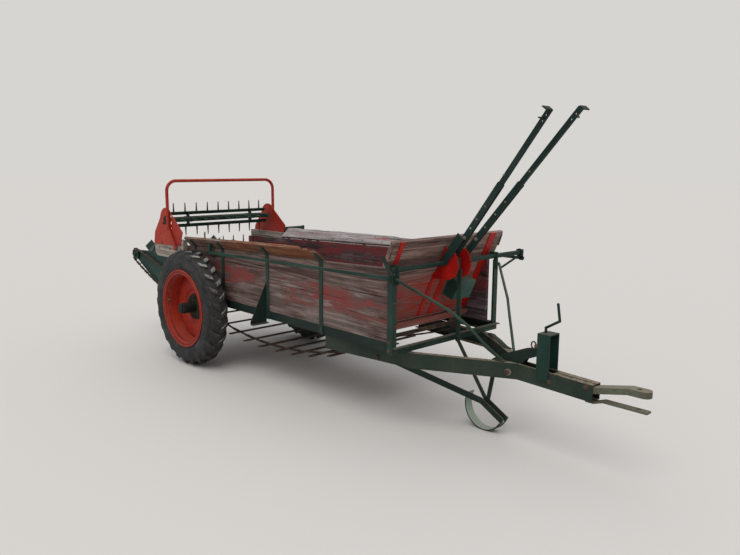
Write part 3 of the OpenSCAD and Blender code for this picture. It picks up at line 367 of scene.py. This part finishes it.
green_lever = painted(
    "green_lever", srgb(18, 40, 36), srgb(32, 54, 48), rust=0.32, worn=0.7, dust=0.1, rust_colour=RED_RUST,
    shift=13)
red = painted("red_paint", srgb(158, 42, 26), srgb(174, 58, 38), rust=0.14, worn=0.6, dust=0.12, rough=0.5)
red_front = painted(
    "red_front", srgb(160, 14, 12), srgb(180, 30, 20), rust=0.06, worn=0.4, dust=0.08, rough=0.5, shift=2)
# The rim's darker rings in its grooves and over its disc are painted shade and grime
red_rim = painted(
    "red_rim", srgb(172, 42, 26), srgb(182, 60, 40), rust=0.16, worn=0.5, dust=0.15,
    rust_colour=srgb(88, 36, 26), rough=0.5, shift=4, shade_and_grime_rings=RIM_SHADE_AND_GRIME_RINGS)

rust = bare_steel("rusty_steel")
chain_steel = bare_steel("chain_steel", srgb(62, 50, 44), srgb(36, 32, 30), srgb(112, 94, 80), 0.6, 0.4)
hub_steel = bare_steel("greasy_hub", srgb(36, 38, 32), srgb(22, 26, 23), srgb(70, 68, 54), 0.55, 0.2)
worn_steel = bare_steel("worn_steel", srgb(132, 126, 118), srgb(92, 84, 76), srgb(176, 170, 160), 0.45, 0.6)

side_wood = planks(
    "side_planks", srgb(144, 127, 121), srgb(98, 81, 77), srgb(54, 43, 41), srgb(150, 44, 44),
    Boards(DECK_Z, BOARD_PITCH, 0.80, 0.045), paint_share=0.95, bleach=0.2)
far_wood = planks(
    "far_planks", srgb(116, 102, 102), srgb(82, 69, 71), srgb(46, 37, 39), srgb(146, 38, 40),
    Boards(DECK_Z, BOARD_PITCH, 0.93, 0.08), paint_share=1.1, bleach=0.25, shift=4.0)
near_flare_wood = planks(
    "near_flare", srgb(158, 136, 118), srgb(102, 78, 66), srgb(54, 36, 31), srgb(128, 56, 38),
    Boards(SIDE_TOP, 0.2, 1.07, 0.02), paint_share=0.3, bleach=0.35, rusty=0.5, shift=6.0)
far_flare_wood = planks(
    "far_flare", srgb(182, 177, 176), srgb(142, 134, 134), srgb(82, 76, 78), srgb(160, 56, 58),
    Boards(SIDE_TOP, 0.2, 1.06, 0.03), paint_share=0.4, bleach=0.5, shift=8.0)
front_wood = planks(
    "front_planks", srgb(160, 136, 128), srgb(118, 94, 88), srgb(62, 48, 46), srgb(176, 40, 26),
    Boards(0.69, 0.117, 0.79, 0.13), paint_share=1.7, grain=ALONG_Y, bleach=0.2, shift=10.0)
rear_wood = planks(
    "rear_planks", srgb(176, 166, 156), srgb(142, 130, 122), srgb(94, 82, 76), srgb(170, 84, 60),
    Boards(0.85, 0.3, 0.95, 0.02), paint_share=0.1, bleach=0.4, shift=12.0)
floor_wood = planks(
    "floor_planks", srgb(150, 132, 112), srgb(112, 94, 78), srgb(70, 56, 48), srgb(120, 70, 56),
    Boards(0.5, 0.3, 0.6, 0.01), paint_share=0.0, bleach=0.15, shift=14.0)

tyre_rubber = rubber()

DRESS = {
    green: ["axle_brackets", "spreader_arms", "rear_brackets", "rod_left", "rod_right", "rear_arm_left",
            "rear_arm_right", "jack_post"],
    green_frame: ["front_frame", "brace_rods", "standards"],
    green_tongue: ["tongue_beams", "tongue_blocks"],
    green_hitch: ["hitch_bar", "hitch_strap"],
    green_foot: ["stand_foot"],
    green_reel: ["upper_beater", "main_beater", "distributor"],
    green_stand: ["stand_legs", "stand_link", "jack_arm"],
    green_box: ["tool_box"],
    # Painted shade: the darker copy of the green paint
    shaded_green_sill: ["sills", "cross_sills", "gussets"],
    green_lever: ["jack_screw", "lever_left", "lever_right", "shaft_stay"],
    red: ["end_plates", "arch"],
    red_front: ["panel_straps", "quadrants"],
    red_rim: ["rim_left", "rim_right"],
    rust: ["axle", "tongue_pins", "apron_slats", "apron_shafts"],
    chain_steel: ["apron_chains", "drive_chain", "beater_chain"],
    hub_steel: ["hub_left", "hub_right"],
    side_wood: ["side_right"],
    far_wood: ["side_left"],
    near_flare_wood: ["flare_right"],
    far_flare_wood: ["flare_left"],
    front_wood: ["front_panel"],
    rear_wood: ["rear_planks"],
    floor_wood: ["floor"],
    tyre_rubber: ["tyre_left", "tyre_right"],
}
for material, names in DRESS.items():
    for name in names:
        NODES[name].data.materials.clear()
        NODES[name].data.materials.append(material)


# Forms that the pieces are made of
def piece(name, bm, material, body, smooth=35):
    """Makes an object of a bmesh, rides it on a body and gives it its finish."""
    mesh = bpy.data.meshes.new(name)
    bm.normal_update()
    for face in bm.faces:
        face.smooth = True
    for edge in bm.edges:
        edge.smooth = len(edge.link_faces) == 2 and edge.calc_face_angle(0) < math.radians(smooth)
    bm.to_mesh(mesh)
    bm.free()
    mesh.materials.append(material)
    made = bpy.data.objects.new(name, mesh)
    bpy.context.scene.collection.objects.link(made)
    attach(made, body)
    return made


def frame_along(axis):
    """A rotation that turns Z to the axis."""
    return Vector((0, 0, 1)).rotation_difference(Vector(axis).normalized()).to_matrix().to_4x4()


def spoke(angle):
    """A unit vector square to the wheels' axis, at an angle above straight ahead."""
    return Vector((math.cos(angle), 0, math.sin(angle)))


def skin(bm, rings, capped=True):
    """Faces between neighbouring rings of vertices, and over the two ends."""
    for a, b in zip(rings, rings[1:]):
        for i in range(len(a)):
            j = (i + 1) % len(a)
            bm.faces.new((a[i], a[j], b[j], b[i]))
    if capped:
        bm.faces.new(rings[0][::-1])
        bm.faces.new(rings[-1])


def turned(bm, place, axis, profile, count=12, spin=0.0):
    """A form turned round an axis: profile is a table of (radius, height)."""
    matrix = Matrix.Translation(place) @ frame_along(axis)
    angles = [spin + 2 * math.pi * i / count for i in range(count)]
    skin(bm, [[bm.verts.new(matrix @ Vector((r * math.cos(a), r * math.sin(a), h))) for a in angles]
              for r, h in profile])


def hex_head(bm, place, axis, r, h, washer=True, spin=0.0):
    """A hexagonal bolt head with its chamfer, on a washer."""
    base = 0.0
    if washer:
        turned(bm, place, axis, [(r * 1.45, -0.0004), (r * 1.45, 0.0014), (r * 1.36, 0.002)], 18)
        base = 0.002
    turned(bm, place, axis, [(r, base - 0.0002), (r, base + h * 0.8), (r * 0.86, base + h)], 6, spin)


def stud_end(bm, place, axis, r, h):
    """A bolt's threaded end that stands out of its nut."""
    turned(bm, place, axis, [(r, -0.001), (r, h * 0.8), (r * 0.75, h)], 12)


def nut(bm, place, axis, r, h, spin=0.1):
    hex_head(bm, place, axis, r, h, True, spin)
    stud_end(bm, place + Vector(axis).normalized() * (h + 0.0015), axis, r * 0.52, r * 0.6)


def dome(bm, place, axis, r, h, count=14):
    """A carriage bolt's or nail's round head."""
    turned(bm, place, axis, [(r, -0.0005), (r * 0.97, h * 0.35), (r * 0.75, h * 0.75), (r * 0.35, h * 0.97)],
           count)


def tube(bm, points, r, count=10):
    """A round bar through the points."""
    rings = []
    side = None
    for i, p in enumerate(points):
        ahead = (points[min(i + 1, len(points) - 1)] - points[max(i - 1, 0)]).normalized()
        side = (side - ahead * side.dot(ahead)).normalized() if side else ahead.orthogonal().normalized()
        other = ahead.cross(side)
        angles = [2 * math.pi * k / count for k in range(count)]
        rings.append([bm.verts.new(p + (side * math.cos(a) + other * math.sin(a)) * r) for a in angles])
    skin(bm, rings)


def hoop(bm, middle, radius, thick, count=120, sides=10):
    """A closed round bead about the wheel's axis."""
    rings = []
    for k in range(count):
        way = spoke(2 * math.pi * k / count)
        ring = []
        for i in range(sides):
            a = 2 * math.pi * i / sides
            place = middle + way * (radius + thick * math.cos(a)) + Vector((0, thick * math.sin(a), 0))
            ring.append(bm.verts.new(place))
        rings.append(ring)
    skin(bm, rings + rings[:1], capped=False)


def smooth_path(points, steps=6):
    """A Catmull-Rom curve through the points."""
    ends = [points[0] * 2 - points[1]] + points + [points[-1] * 2 - points[-2]]
    path = []
    for a, b, c, d in zip(ends, ends[1:], ends[2:], ends[3:]):
        for i in range(steps):
            t = i / steps
            path.append(0.5 * (2 * b + (c - a) * t + (2 * a - 5 * b + 4 * c - d) * t * t
                               + (3 * b - a - 3 * c + d) * t ** 3))
    return path + [points[-1]]


def flat_strap(name, path, across, thick, material, body):
    """A flat bar along a path, with the half width that across gives."""
    bm = bmesh.new()
    across = Vector(across)
    rings = []
    for k, p in enumerate(path):
        ahead = (path[min(k + 1, len(path) - 1)] - path[max(k - 1, 0)]).normalized()
        up = ahead.cross(across).normalized() * thick / 2
        rings.append([bm.verts.new(p + c) for c in (across + up, -across + up, -across - up, across - up)])
    skin(bm, rings)
    bmesh.ops.recalc_face_normals(bm, faces=bm.faces[:])
    return piece(name, bm, material, body)


HEADS = {
    "bolt": lambda bm, p, out, r, i: hex_head(bm, p, out, r, r * 0.7, True, i * 0.7),
    "plain": lambda bm, p, out, r, i: hex_head(bm, p, out, r, r * 0.7, False, i * 0.7),
    "nut": lambda bm, p, out, r, i: nut(bm, p, out, r, r * 0.8, i * 0.5),
    "dome": lambda bm, p, out, r, i: dome(bm, p, out, r, r * 0.45),
}


def fasteners(name, body, rows, material=rust):
    """Heads and nuts: kind, place from the axle and the ground, way out, radius."""
    bm = bmesh.new()
    for i, (kind, place, out, r) in enumerate(rows):
        HEADS[kind](bm, at(*place), Vector(out), r, i)
    return piece(name, bm, material, body)


# Tyres: a carcass turned from its section, with curved lugs raised on the tread
LUGS = 24
LUG_H = 0.020
TREAD_HALF = 0.060
TREAD_MIDDLE_R, TREAD_CROWN = 0.469, 2.6
SHOULDER_R = 0.43
TYRE_STEPS, TREAD_STEPS = 480, 30
# Radius and half width from the bead to the shoulder
SECTION = [(0.306, 0.073), (0.331, 0.0775), (0.343, 0.083), (0.358, 0.0895), (0.376, 0.0945), (0.392, 0.0946),
           (0.408, 0.0942), (0.424, 0.0905), (0.437, 0.0845), (0.447, 0.076), (0.4545, 0.066)]


def lug_height(angle, y):
    """How far the lug stands up at a place on the tread, 0 to 1."""
    across = abs(y) / 0.092
    lead = 0.14 * across + 0.20 * across * across
    half_turn = 0.5 if y > 0 else 0.0
    phase = (angle / (2 * math.pi) * LUGS - lead * 1.9 + half_turn) % 1.0
    half = 0.135 + 0.05 * across
    rise = min(1.0, max(0.0, (half + 0.045 - abs(phase - 0.5)) / 0.045))
    near_middle = min(1.0, (abs(y) + 0.004) / 0.012)
    return rise * rise * (3 - 2 * rise) * near_middle


def tyre_profile():
    """Radius and place across, from one bead over the tread to the other."""
    profile = [(r, -y) for r, y in SECTION]
    for i in range(TREAD_STEPS + 1):
        y = -TREAD_HALF + 2 * TREAD_HALF * i / TREAD_STEPS
        profile.append((TREAD_MIDDLE_R - TREAD_CROWN * y * y, y))
    return profile + SECTION[::-1]


def make_tyre(name, side):
    middle = at(0, side * WHEEL_Y, TYRE_R)
    bm = bmesh.new()
    rings = []
    for r, y in tyre_profile():
        fade = min(1.0, max(0.0, (r - SHOULDER_R) / 0.02))
        ring = []
        for k in range(TYRE_STEPS):
            angle = 2 * math.pi * k / TYRE_STEPS
            rise = lug_height(angle, y) * LUG_H * fade
            radius = min(r + rise, TYRE_R - 0.0002 - 0.9 * y * y)
            place = middle + Vector((radius * math.cos(angle), y, radius * math.sin(angle)))
            ring.append(bm.verts.new(place))
        rings.append(ring)
    for a, b in zip(rings, rings[1:]):
        for k in range(TYRE_STEPS):
            j = (k + 1) % TYRE_STEPS
            bm.faces.new((a[k], b[k], b[j], a[j]))
    made = piece(name, bm, tyre_rubber, "wheel_left" if side > 0 else "wheel_right", 40)
    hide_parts("tyre_left" if side > 0 else "tyre_right")


def rim_beads(side, label):
    """Rolled beads on the rim's outer flange: radius, place out from the rim's middle, thickness."""
    bm = bmesh.new()
    for radius, out, thick in ((0.3232, 0.0846, 0.0044), (0.2972, 0.0816, 0.0040)):
        hoop(bm, at(0, side * (WHEEL_Y + out), TYRE_R), radius, thick)
    bmesh.ops.recalc_face_normals(bm, faces=bm.faces)
    piece("rim_beads_" + label, bm, red_rim, "wheel_" + label)


for wheel_side, wheel_label in SIDES:
    make_tyre("tread_" + wheel_label, wheel_side)
for wheel_side, wheel_label in SIDES:
    rim_beads(wheel_side, wheel_label)


# Fasteners of the box, the front frame and the tongue
STANDARD_FACE = BOX_HALF + 0.0053
SIDE_FALL = 0.032


def side_bolts():
    """Heads down each standard, with one more on the outer standards."""
    rows = []
    for side in (-1, 1):
        out = (0, side, 0)
        for x in STANDARDS:
            for z in (SILL_BOTTOM + 0.032, DECK_Z + 0.225, DECK_Z + 0.385):
                rows.append(("plain", (x, side * STANDARD_FACE, z), out, 0.0085))
            if x in (STANDARDS[0], STANDARDS[-1]):
                rows.append(("plain", (x, side * STANDARD_FACE, DECK_Z + 0.055), out, 0.0085))
    fasteners("side_bolts", "frame", rows)


def front_bolts():
    """Bolts on the posts' outer and front faces and on the crossbar."""
    rows = []
    for side in (-1, 1):
        for z in (0.546, 0.60, 0.99):
            rows.append(("bolt", (2.281, side * 0.5402, z), (0, side, 0), 0.0095))
        for z in (0.547, 0.70, 0.85):
            rows.append(("bolt", (2.3052, side * 0.519, z), AHEAD, 0.0085))
        rows.append(("bolt", (2.3122, side * 0.505, 0.547), AHEAD, 0.0095))
        rows.append(("bolt", (2.3122, side * 0.24, 0.552), AHEAD, 0.0085))
    fasteners("front_bolts", "frame", rows)


def tongue_bolts():
    """Bolts through the jack's post and the hitch, nuts on the post's sides and the brace rods' feet."""
    rows = [("bolt", (3.121, -0.0452, 0.441), RIGHT, 0.010), ("nut", (3.360, -0.0452, 0.467), RIGHT, 0.011),
            ("bolt", (3.121, 0.0452, 0.441), LEFT, 0.010), ("bolt", (3.360, 0.0452, 0.467), LEFT, 0.011),
            ("nut", (3.028, -0.0512, 0.640), RIGHT, 0.009), ("nut", (3.028, 0.0512, 0.640), LEFT, 0.009)]
    for side in (-1, 1):
        rows.append(("nut", (2.802, side * 0.078, 0.5140), UP, 0.009))
    fasteners("tongue_bolts", "frame", rows)


def pin_eyelet(side, label):
    """Eyelet where the jack arm's pin shows in the tongue's side."""
    bm = bmesh.new()
    out = Vector((0.54, side * 0.84, 0)).normalized()
    profile = [(0.021, -0.004), (0.0215, 0.002), (0.020, 0.0045), (0.012, 0.0045), (0.0105, 0.0015),
               (0.004, 0.001)]
    turned(bm, at(2.852, side * 0.0766, 0.4464), out, profile, 28)
    piece("pin_eyelet_" + label, bm, worn_steel, "frame")


def lever_bolts(label, face, end, nut_place, places):
    """Rivets up a lever's right face, one near its end, and a nut near its foot."""
    rows = [("dome", (x, face, z), RIGHT, 0.0075) for x, z in places]
    rows += [("dome", end, RIGHT, 0.007), ("nut", nut_place, RIGHT, 0.009)]
    fasteners("lever_bolts_" + label, "lever_" + label, rows, worn_steel)


side_bolts()
front_bolts()
tongue_bolts()
for pin_side, pin_label in SIDES:
    pin_eyelet(pin_side, pin_label)
lever_bolts("right", -0.0063, (2.713, -0.0003, 1.641), (2.43, -0.0063, 1.234),
            ((2.587, 1.444), (2.523, 1.360), (2.476, 1.299)))
lever_bolts("left", 0.1007, (2.826, 0.1067, 1.663), (2.44, 0.1007, 1.220),
            ((2.661, 1.471), (2.588, 1.390), (2.512, 1.303)))

# Fittings of the wheels
HUB_NUTS, HUB_NUT_CIRCLE, HUB_FACE = 6, 0.087, 0.6074
VALVE_ANGLE = math.radians(172)
# Distance from the axis and out from the rim's middle
VALVE_PATH = ((0.278, 0.028), (0.270, 0.036), (0.264, 0.050), (0.262, 0.064))


def wheel_nuts(side, label):
    out = Vector((0, side, 0))
    rows = []
    for k in range(HUB_NUTS):
        a = math.radians(360 / HUB_NUTS * k + 24)
        place = (HUB_NUT_CIRCLE * math.cos(a), side * HUB_FACE, TYRE_R + HUB_NUT_CIRCLE * math.sin(a))
        rows.append(("nut", place, out, 0.012))
    fasteners("wheel_bolts_" + label, "wheel_" + label, rows, hub_steel)


def valve(side, label):
    """The tube's bent valve stem with its cap."""
    bm = bmesh.new()
    out = Vector((0, side, 0))
    way = spoke(VALVE_ANGLE)
    foot = at(0, side * WHEEL_Y, TYRE_R)
    tube(bm, smooth_path([foot + way * r + out * y for r, y in VALVE_PATH], 4), 0.0042)
    cap = foot + way * VALVE_PATH[-1][0] + out * 0.060
    turned(bm, cap, out, [(0.0056, 0), (0.0056, 0.009), (0.0045, 0.0105)])
    piece("valve_" + label, bm, worn_steel, "wheel_" + label)


for wheel_side, wheel_label in SIDES:
    wheel_nuts(wheel_side, wheel_label)
    valve(wheel_side, wheel_label)

# Straps and irons at the front
STRAP_THICK = 0.006
CRANK_STRAP_Y = -0.5625
PANEL_IRON_Y = 0.5530


def bent_strap():
    """Strap that arches over the left tongue beam and rests on it at both ends."""
    places = ((2.366, 0.388, 0.5246), (2.400, 0.357, 0.5262), (2.450, 0.300, 0.548), (2.520, 0.238, 0.553),
              (2.590, 0.196, 0.546), (2.645, 0.186, 0.520), (2.685, 0.184, 0.5108))
    flat_strap("bent_strap", smooth_path([at(*p) for p in places], 5), (0.0105, 0.0115, 0), STRAP_THICK,
               green_lever, "frame")


def crank_strap():
    """Strap on the crank at the shaft's right end, and the bolt that holds it."""
    places = ((2.318, 1.034), (2.30, 1.06), (2.262, 1.115), (2.245, 1.140))
    flat_strap("crank_strap", [at(x, CRANK_STRAP_Y, z) for x, z in places], (0.0096, 0, 0.0072), STRAP_THICK,
               green_lever, "lever_right")
    bm = bmesh.new()
    turned(bm, at(2.300, -0.5557, 1.060), RIGHT, [(0.0085, 0), (0.0085, 0.0105), (0.0065, 0.0122)], 14)
    piece("crank_bolt", bm, green_lever, "lever_right")


def panel_iron(side, label):
    """Round iron down the end of the front panel, with its rivet."""
    places = ((2.322, 0.550, 1.222), (2.318, PANEL_IRON_Y, 1.205), (2.304, PANEL_IRON_Y, 1.165),
              (2.292, PANEL_IRON_Y, 1.138))
    bm = bmesh.new()
    tube(bm, smooth_path([at(x, side * y, z) for x, y, z in places], 4), 0.0050, 8)
    dome(bm, at(2.292, side * (PANEL_IRON_Y - 0.001), 1.139), (0, side, 0), 0.008, 0.0065)
    piece("panel_iron_" + label, bm, rust, "frame")


bent_strap()
crank_strap()
for iron_side, iron_label in SIDES:
    panel_iron(iron_side, iron_label)

# Bearing flanges and rivets on the end plates
PLATE_FACE = 0.5572
FLANGE = [(0.040, 0), (0.040, 0.004), (0.037, 0.006), (0.028, 0.0065), (0.0265, 0.010), (0.0215, 0.0105)]


def bearing(side, label):
    """Round bearing flange with its two nuts."""
    bm = bmesh.new()
    out = Vector((0, side, 0))
    middle = at(-0.543, side * PLATE_FACE, 1.192)
    turned(bm, middle, out, FLANGE, 32)
    for angle in (35, 215):
        nut(bm, middle + spoke(math.radians(angle)) * 0.052, out, 0.0085, 0.007)
    piece("bearing_" + label, bm, hub_steel, "frame")


def plate_bolts():
    """Round heads on the plates, and on the planks below them."""
    rows = []
    for side in (-1, 1):
        for x, z in ((-0.64, 0.985), (-0.43, 0.985), (-0.315, 0.99), (-0.66, 1.06), (-0.30, 1.04)):
            rows.append(("dome", (x, side * (PLATE_FACE + 0.0001), z), (0, side, 0), 0.008))
        for x, z in ((-0.70, 0.93), (-0.50, 0.93), (-0.30, 0.95)):
            rows.append(("dome", (x, side * (PLATE_FACE - 0.005), z), (0, side, 0), 0.008))
    fasteners("plate_bolts", "frame", rows)


for plate_side, plate_label in SIDES:
    bearing(plate_side, plate_label)
plate_bolts()

# The jack arm's eye
EYE_MIDDLE = (2.9925, -0.0210, 0.6354)
EYE_HALF_LENGTH, EYE_HALF_HEIGHT = 0.016, 0.021


def arm_eye():
    """A lifting eye of round iron on the arm's right plate."""
    ring = []
    for degrees in range(-100, 241, 20):
        a = math.radians(degrees)
        away = Vector((math.cos(a) * EYE_HALF_LENGTH, 0, math.sin(a) * EYE_HALF_HEIGHT))
        ring.append(at(*EYE_MIDDLE) + away)
    bm = bmesh.new()
    tube(bm, ring, 0.0048, 8)
    piece("arm_eye", bm, rust, "jack_arm")


arm_eye()

# Nails; the flare boards lean out, and their faces lie this far from their middles
FLARE_LEAN = math.radians(50)
FLARE_FACE = 0.0211
# From a side's outer face to its inner one
SIDE_THROUGH = 0.0254
NAIL_PLACES = [-0.55, -0.33, 0.08, 0.52, 0.74, 1.16, 1.37, 1.82, 2.03, 2.2]


def side_z(x):
    """Height of the side's top edge, which falls to the rear."""
    return SIDE_TOP + SIDE_FALL * (x - STANDARDS[3])


def flare_nails():
    """Dark heads in two rows on the left flare board's upper face."""
    bm = bmesh.new()
    rng = random.Random(9)
    sine, cosine = math.sin(FLARE_LEAN), math.cos(FLARE_LEAN)
    for k in range(21):
        x = -0.15 + 0.108 * k + rng.uniform(-0.02, 0.02)
        width = (0.028, 0.075)[k % 2] * (0.8 if k > 16 else 1.0)
        place = at(x, 0.496 + width * sine - FLARE_FACE * cosine,
                   0.9916 + SIDE_FALL * x + width * cosine + FLARE_FACE * sine)
        dome(bm, place, (0, -cosine, sine), 0.0062, 0.0012, 10)
    piece("flare_nails", bm, rust, "frame")


def side_nails():
    """Heads in the sides' boards, two at each place, outside and inside."""
    bm = bmesh.new()
    rng = random.Random(5)
    for side in (-1, 1):
        for board in range(3):
            for x in NAIL_PLACES:
                for dz in (0.035, 0.112):
                    place = at(x + rng.uniform(-0.02, 0.02), side * (BOX_HALF + 0.0002),
                               DECK_Z + board * BOARD_PITCH + dz + rng.uniform(-0.008, 0.008))
                    if place.z + HITCH_Z < side_z(x) - 0.012:
                        dome(bm, place, (0, side, 0), 0.0045, 0.0012, 10)
                        inside = place - Vector((0, side * SIDE_THROUGH, 0))
                        dome(bm, inside, (0, -side, 0), 0.006, 0.0014, 10)
    piece("side_nails", bm, rust, "frame")


flare_nails()
side_nails()

# Floor, light and world
FLOOR, BACKDROP, SKY = (210, 207, 203), (215, 213, 209), (250, 251, 253)
SKY_STRENGTH = 0.60
FLOOR_HALF = 60


def make_stage():
    bm = bmesh.new()
    bmesh.ops.create_grid(bm, x_segments=2, y_segments=2, size=FLOOR_HALF)
    mesh = bpy.data.meshes.new("floor_plane")
    bm.to_mesh(mesh)
    bm.free()
    ground = bpy.data.objects.new("studio_floor", mesh)
    ground.location = (0, 0, GROUND - 0.0005)
    bpy.context.scene.collection.objects.link(ground)
    look = Looks("studio_floor", 1.0, gloss=0.0)
    look.shader.inputs["Base Color"].default_value = srgb(*FLOOR)
    mesh.materials.append(look.material)


def sun(name, azimuth, height, strength, width, colour=(1, 1, 1)):
    """A wide soft lamp far away, which lights the whole floor evenly."""
    lamp = bpy.data.lights.new(name, "SUN")
    lamp.energy, lamp.angle, lamp.color = strength, math.radians(width), colour
    made = bpy.data.objects.new(name, lamp)
    a, h = math.radians(azimuth), math.radians(height)
    way = Vector((math.cos(a) * math.cos(h), math.sin(a) * math.cos(h), math.sin(h)))
    made.rotation_euler = way.to_track_quat("Z", "Y").to_euler()
    bpy.context.scene.collection.objects.link(made)


def make_world():
    """Plain soft light all round; the camera, mirrors and glass see the backdrop instead."""
    world = bpy.data.worlds.new("studio")
    bpy.context.scene.world = world
    world.use_nodes = True
    tree = world.node_tree
    plain = tree.nodes["Background"]
    plain.inputs[0].default_value, plain.inputs[1].default_value = srgb(*SKY), SKY_STRENGTH
    seen = tree.nodes.new("ShaderNodeBackground")
    seen.inputs[0].default_value, seen.inputs[1].default_value = srgb(*BACKDROP), 1.0
    rays = tree.nodes.new("ShaderNodeLightPath").outputs
    share = rays["Is Camera Ray"]
    for kind in ("Is Glossy Ray", "Is Transmission Ray"):
        either = tree.nodes.new("ShaderNodeMath")
        either.operation = "MAXIMUM"
        tree.links.new(share, either.inputs[0])
        tree.links.new(rays[kind], either.inputs[1])
        share = either.outputs[0]
    choose = tree.nodes.new("ShaderNodeMixShader")
    tree.links.new(share, choose.inputs[0])
    tree.links.new(plain.outputs[0], choose.inputs[1])
    tree.links.new(seen.outputs[0], choose.inputs[2])
    tree.links.new(choose.outputs[0], tree.nodes["World Output"].inputs[0])


make_stage()
sun("key", -62, 58, 1.25, 50, (1.0, 0.99, 0.97))
sun("back_light", 150, 50, 0.62, 60)
make_world()
bpy.context.scene.view_settings.view_transform = "Standard"
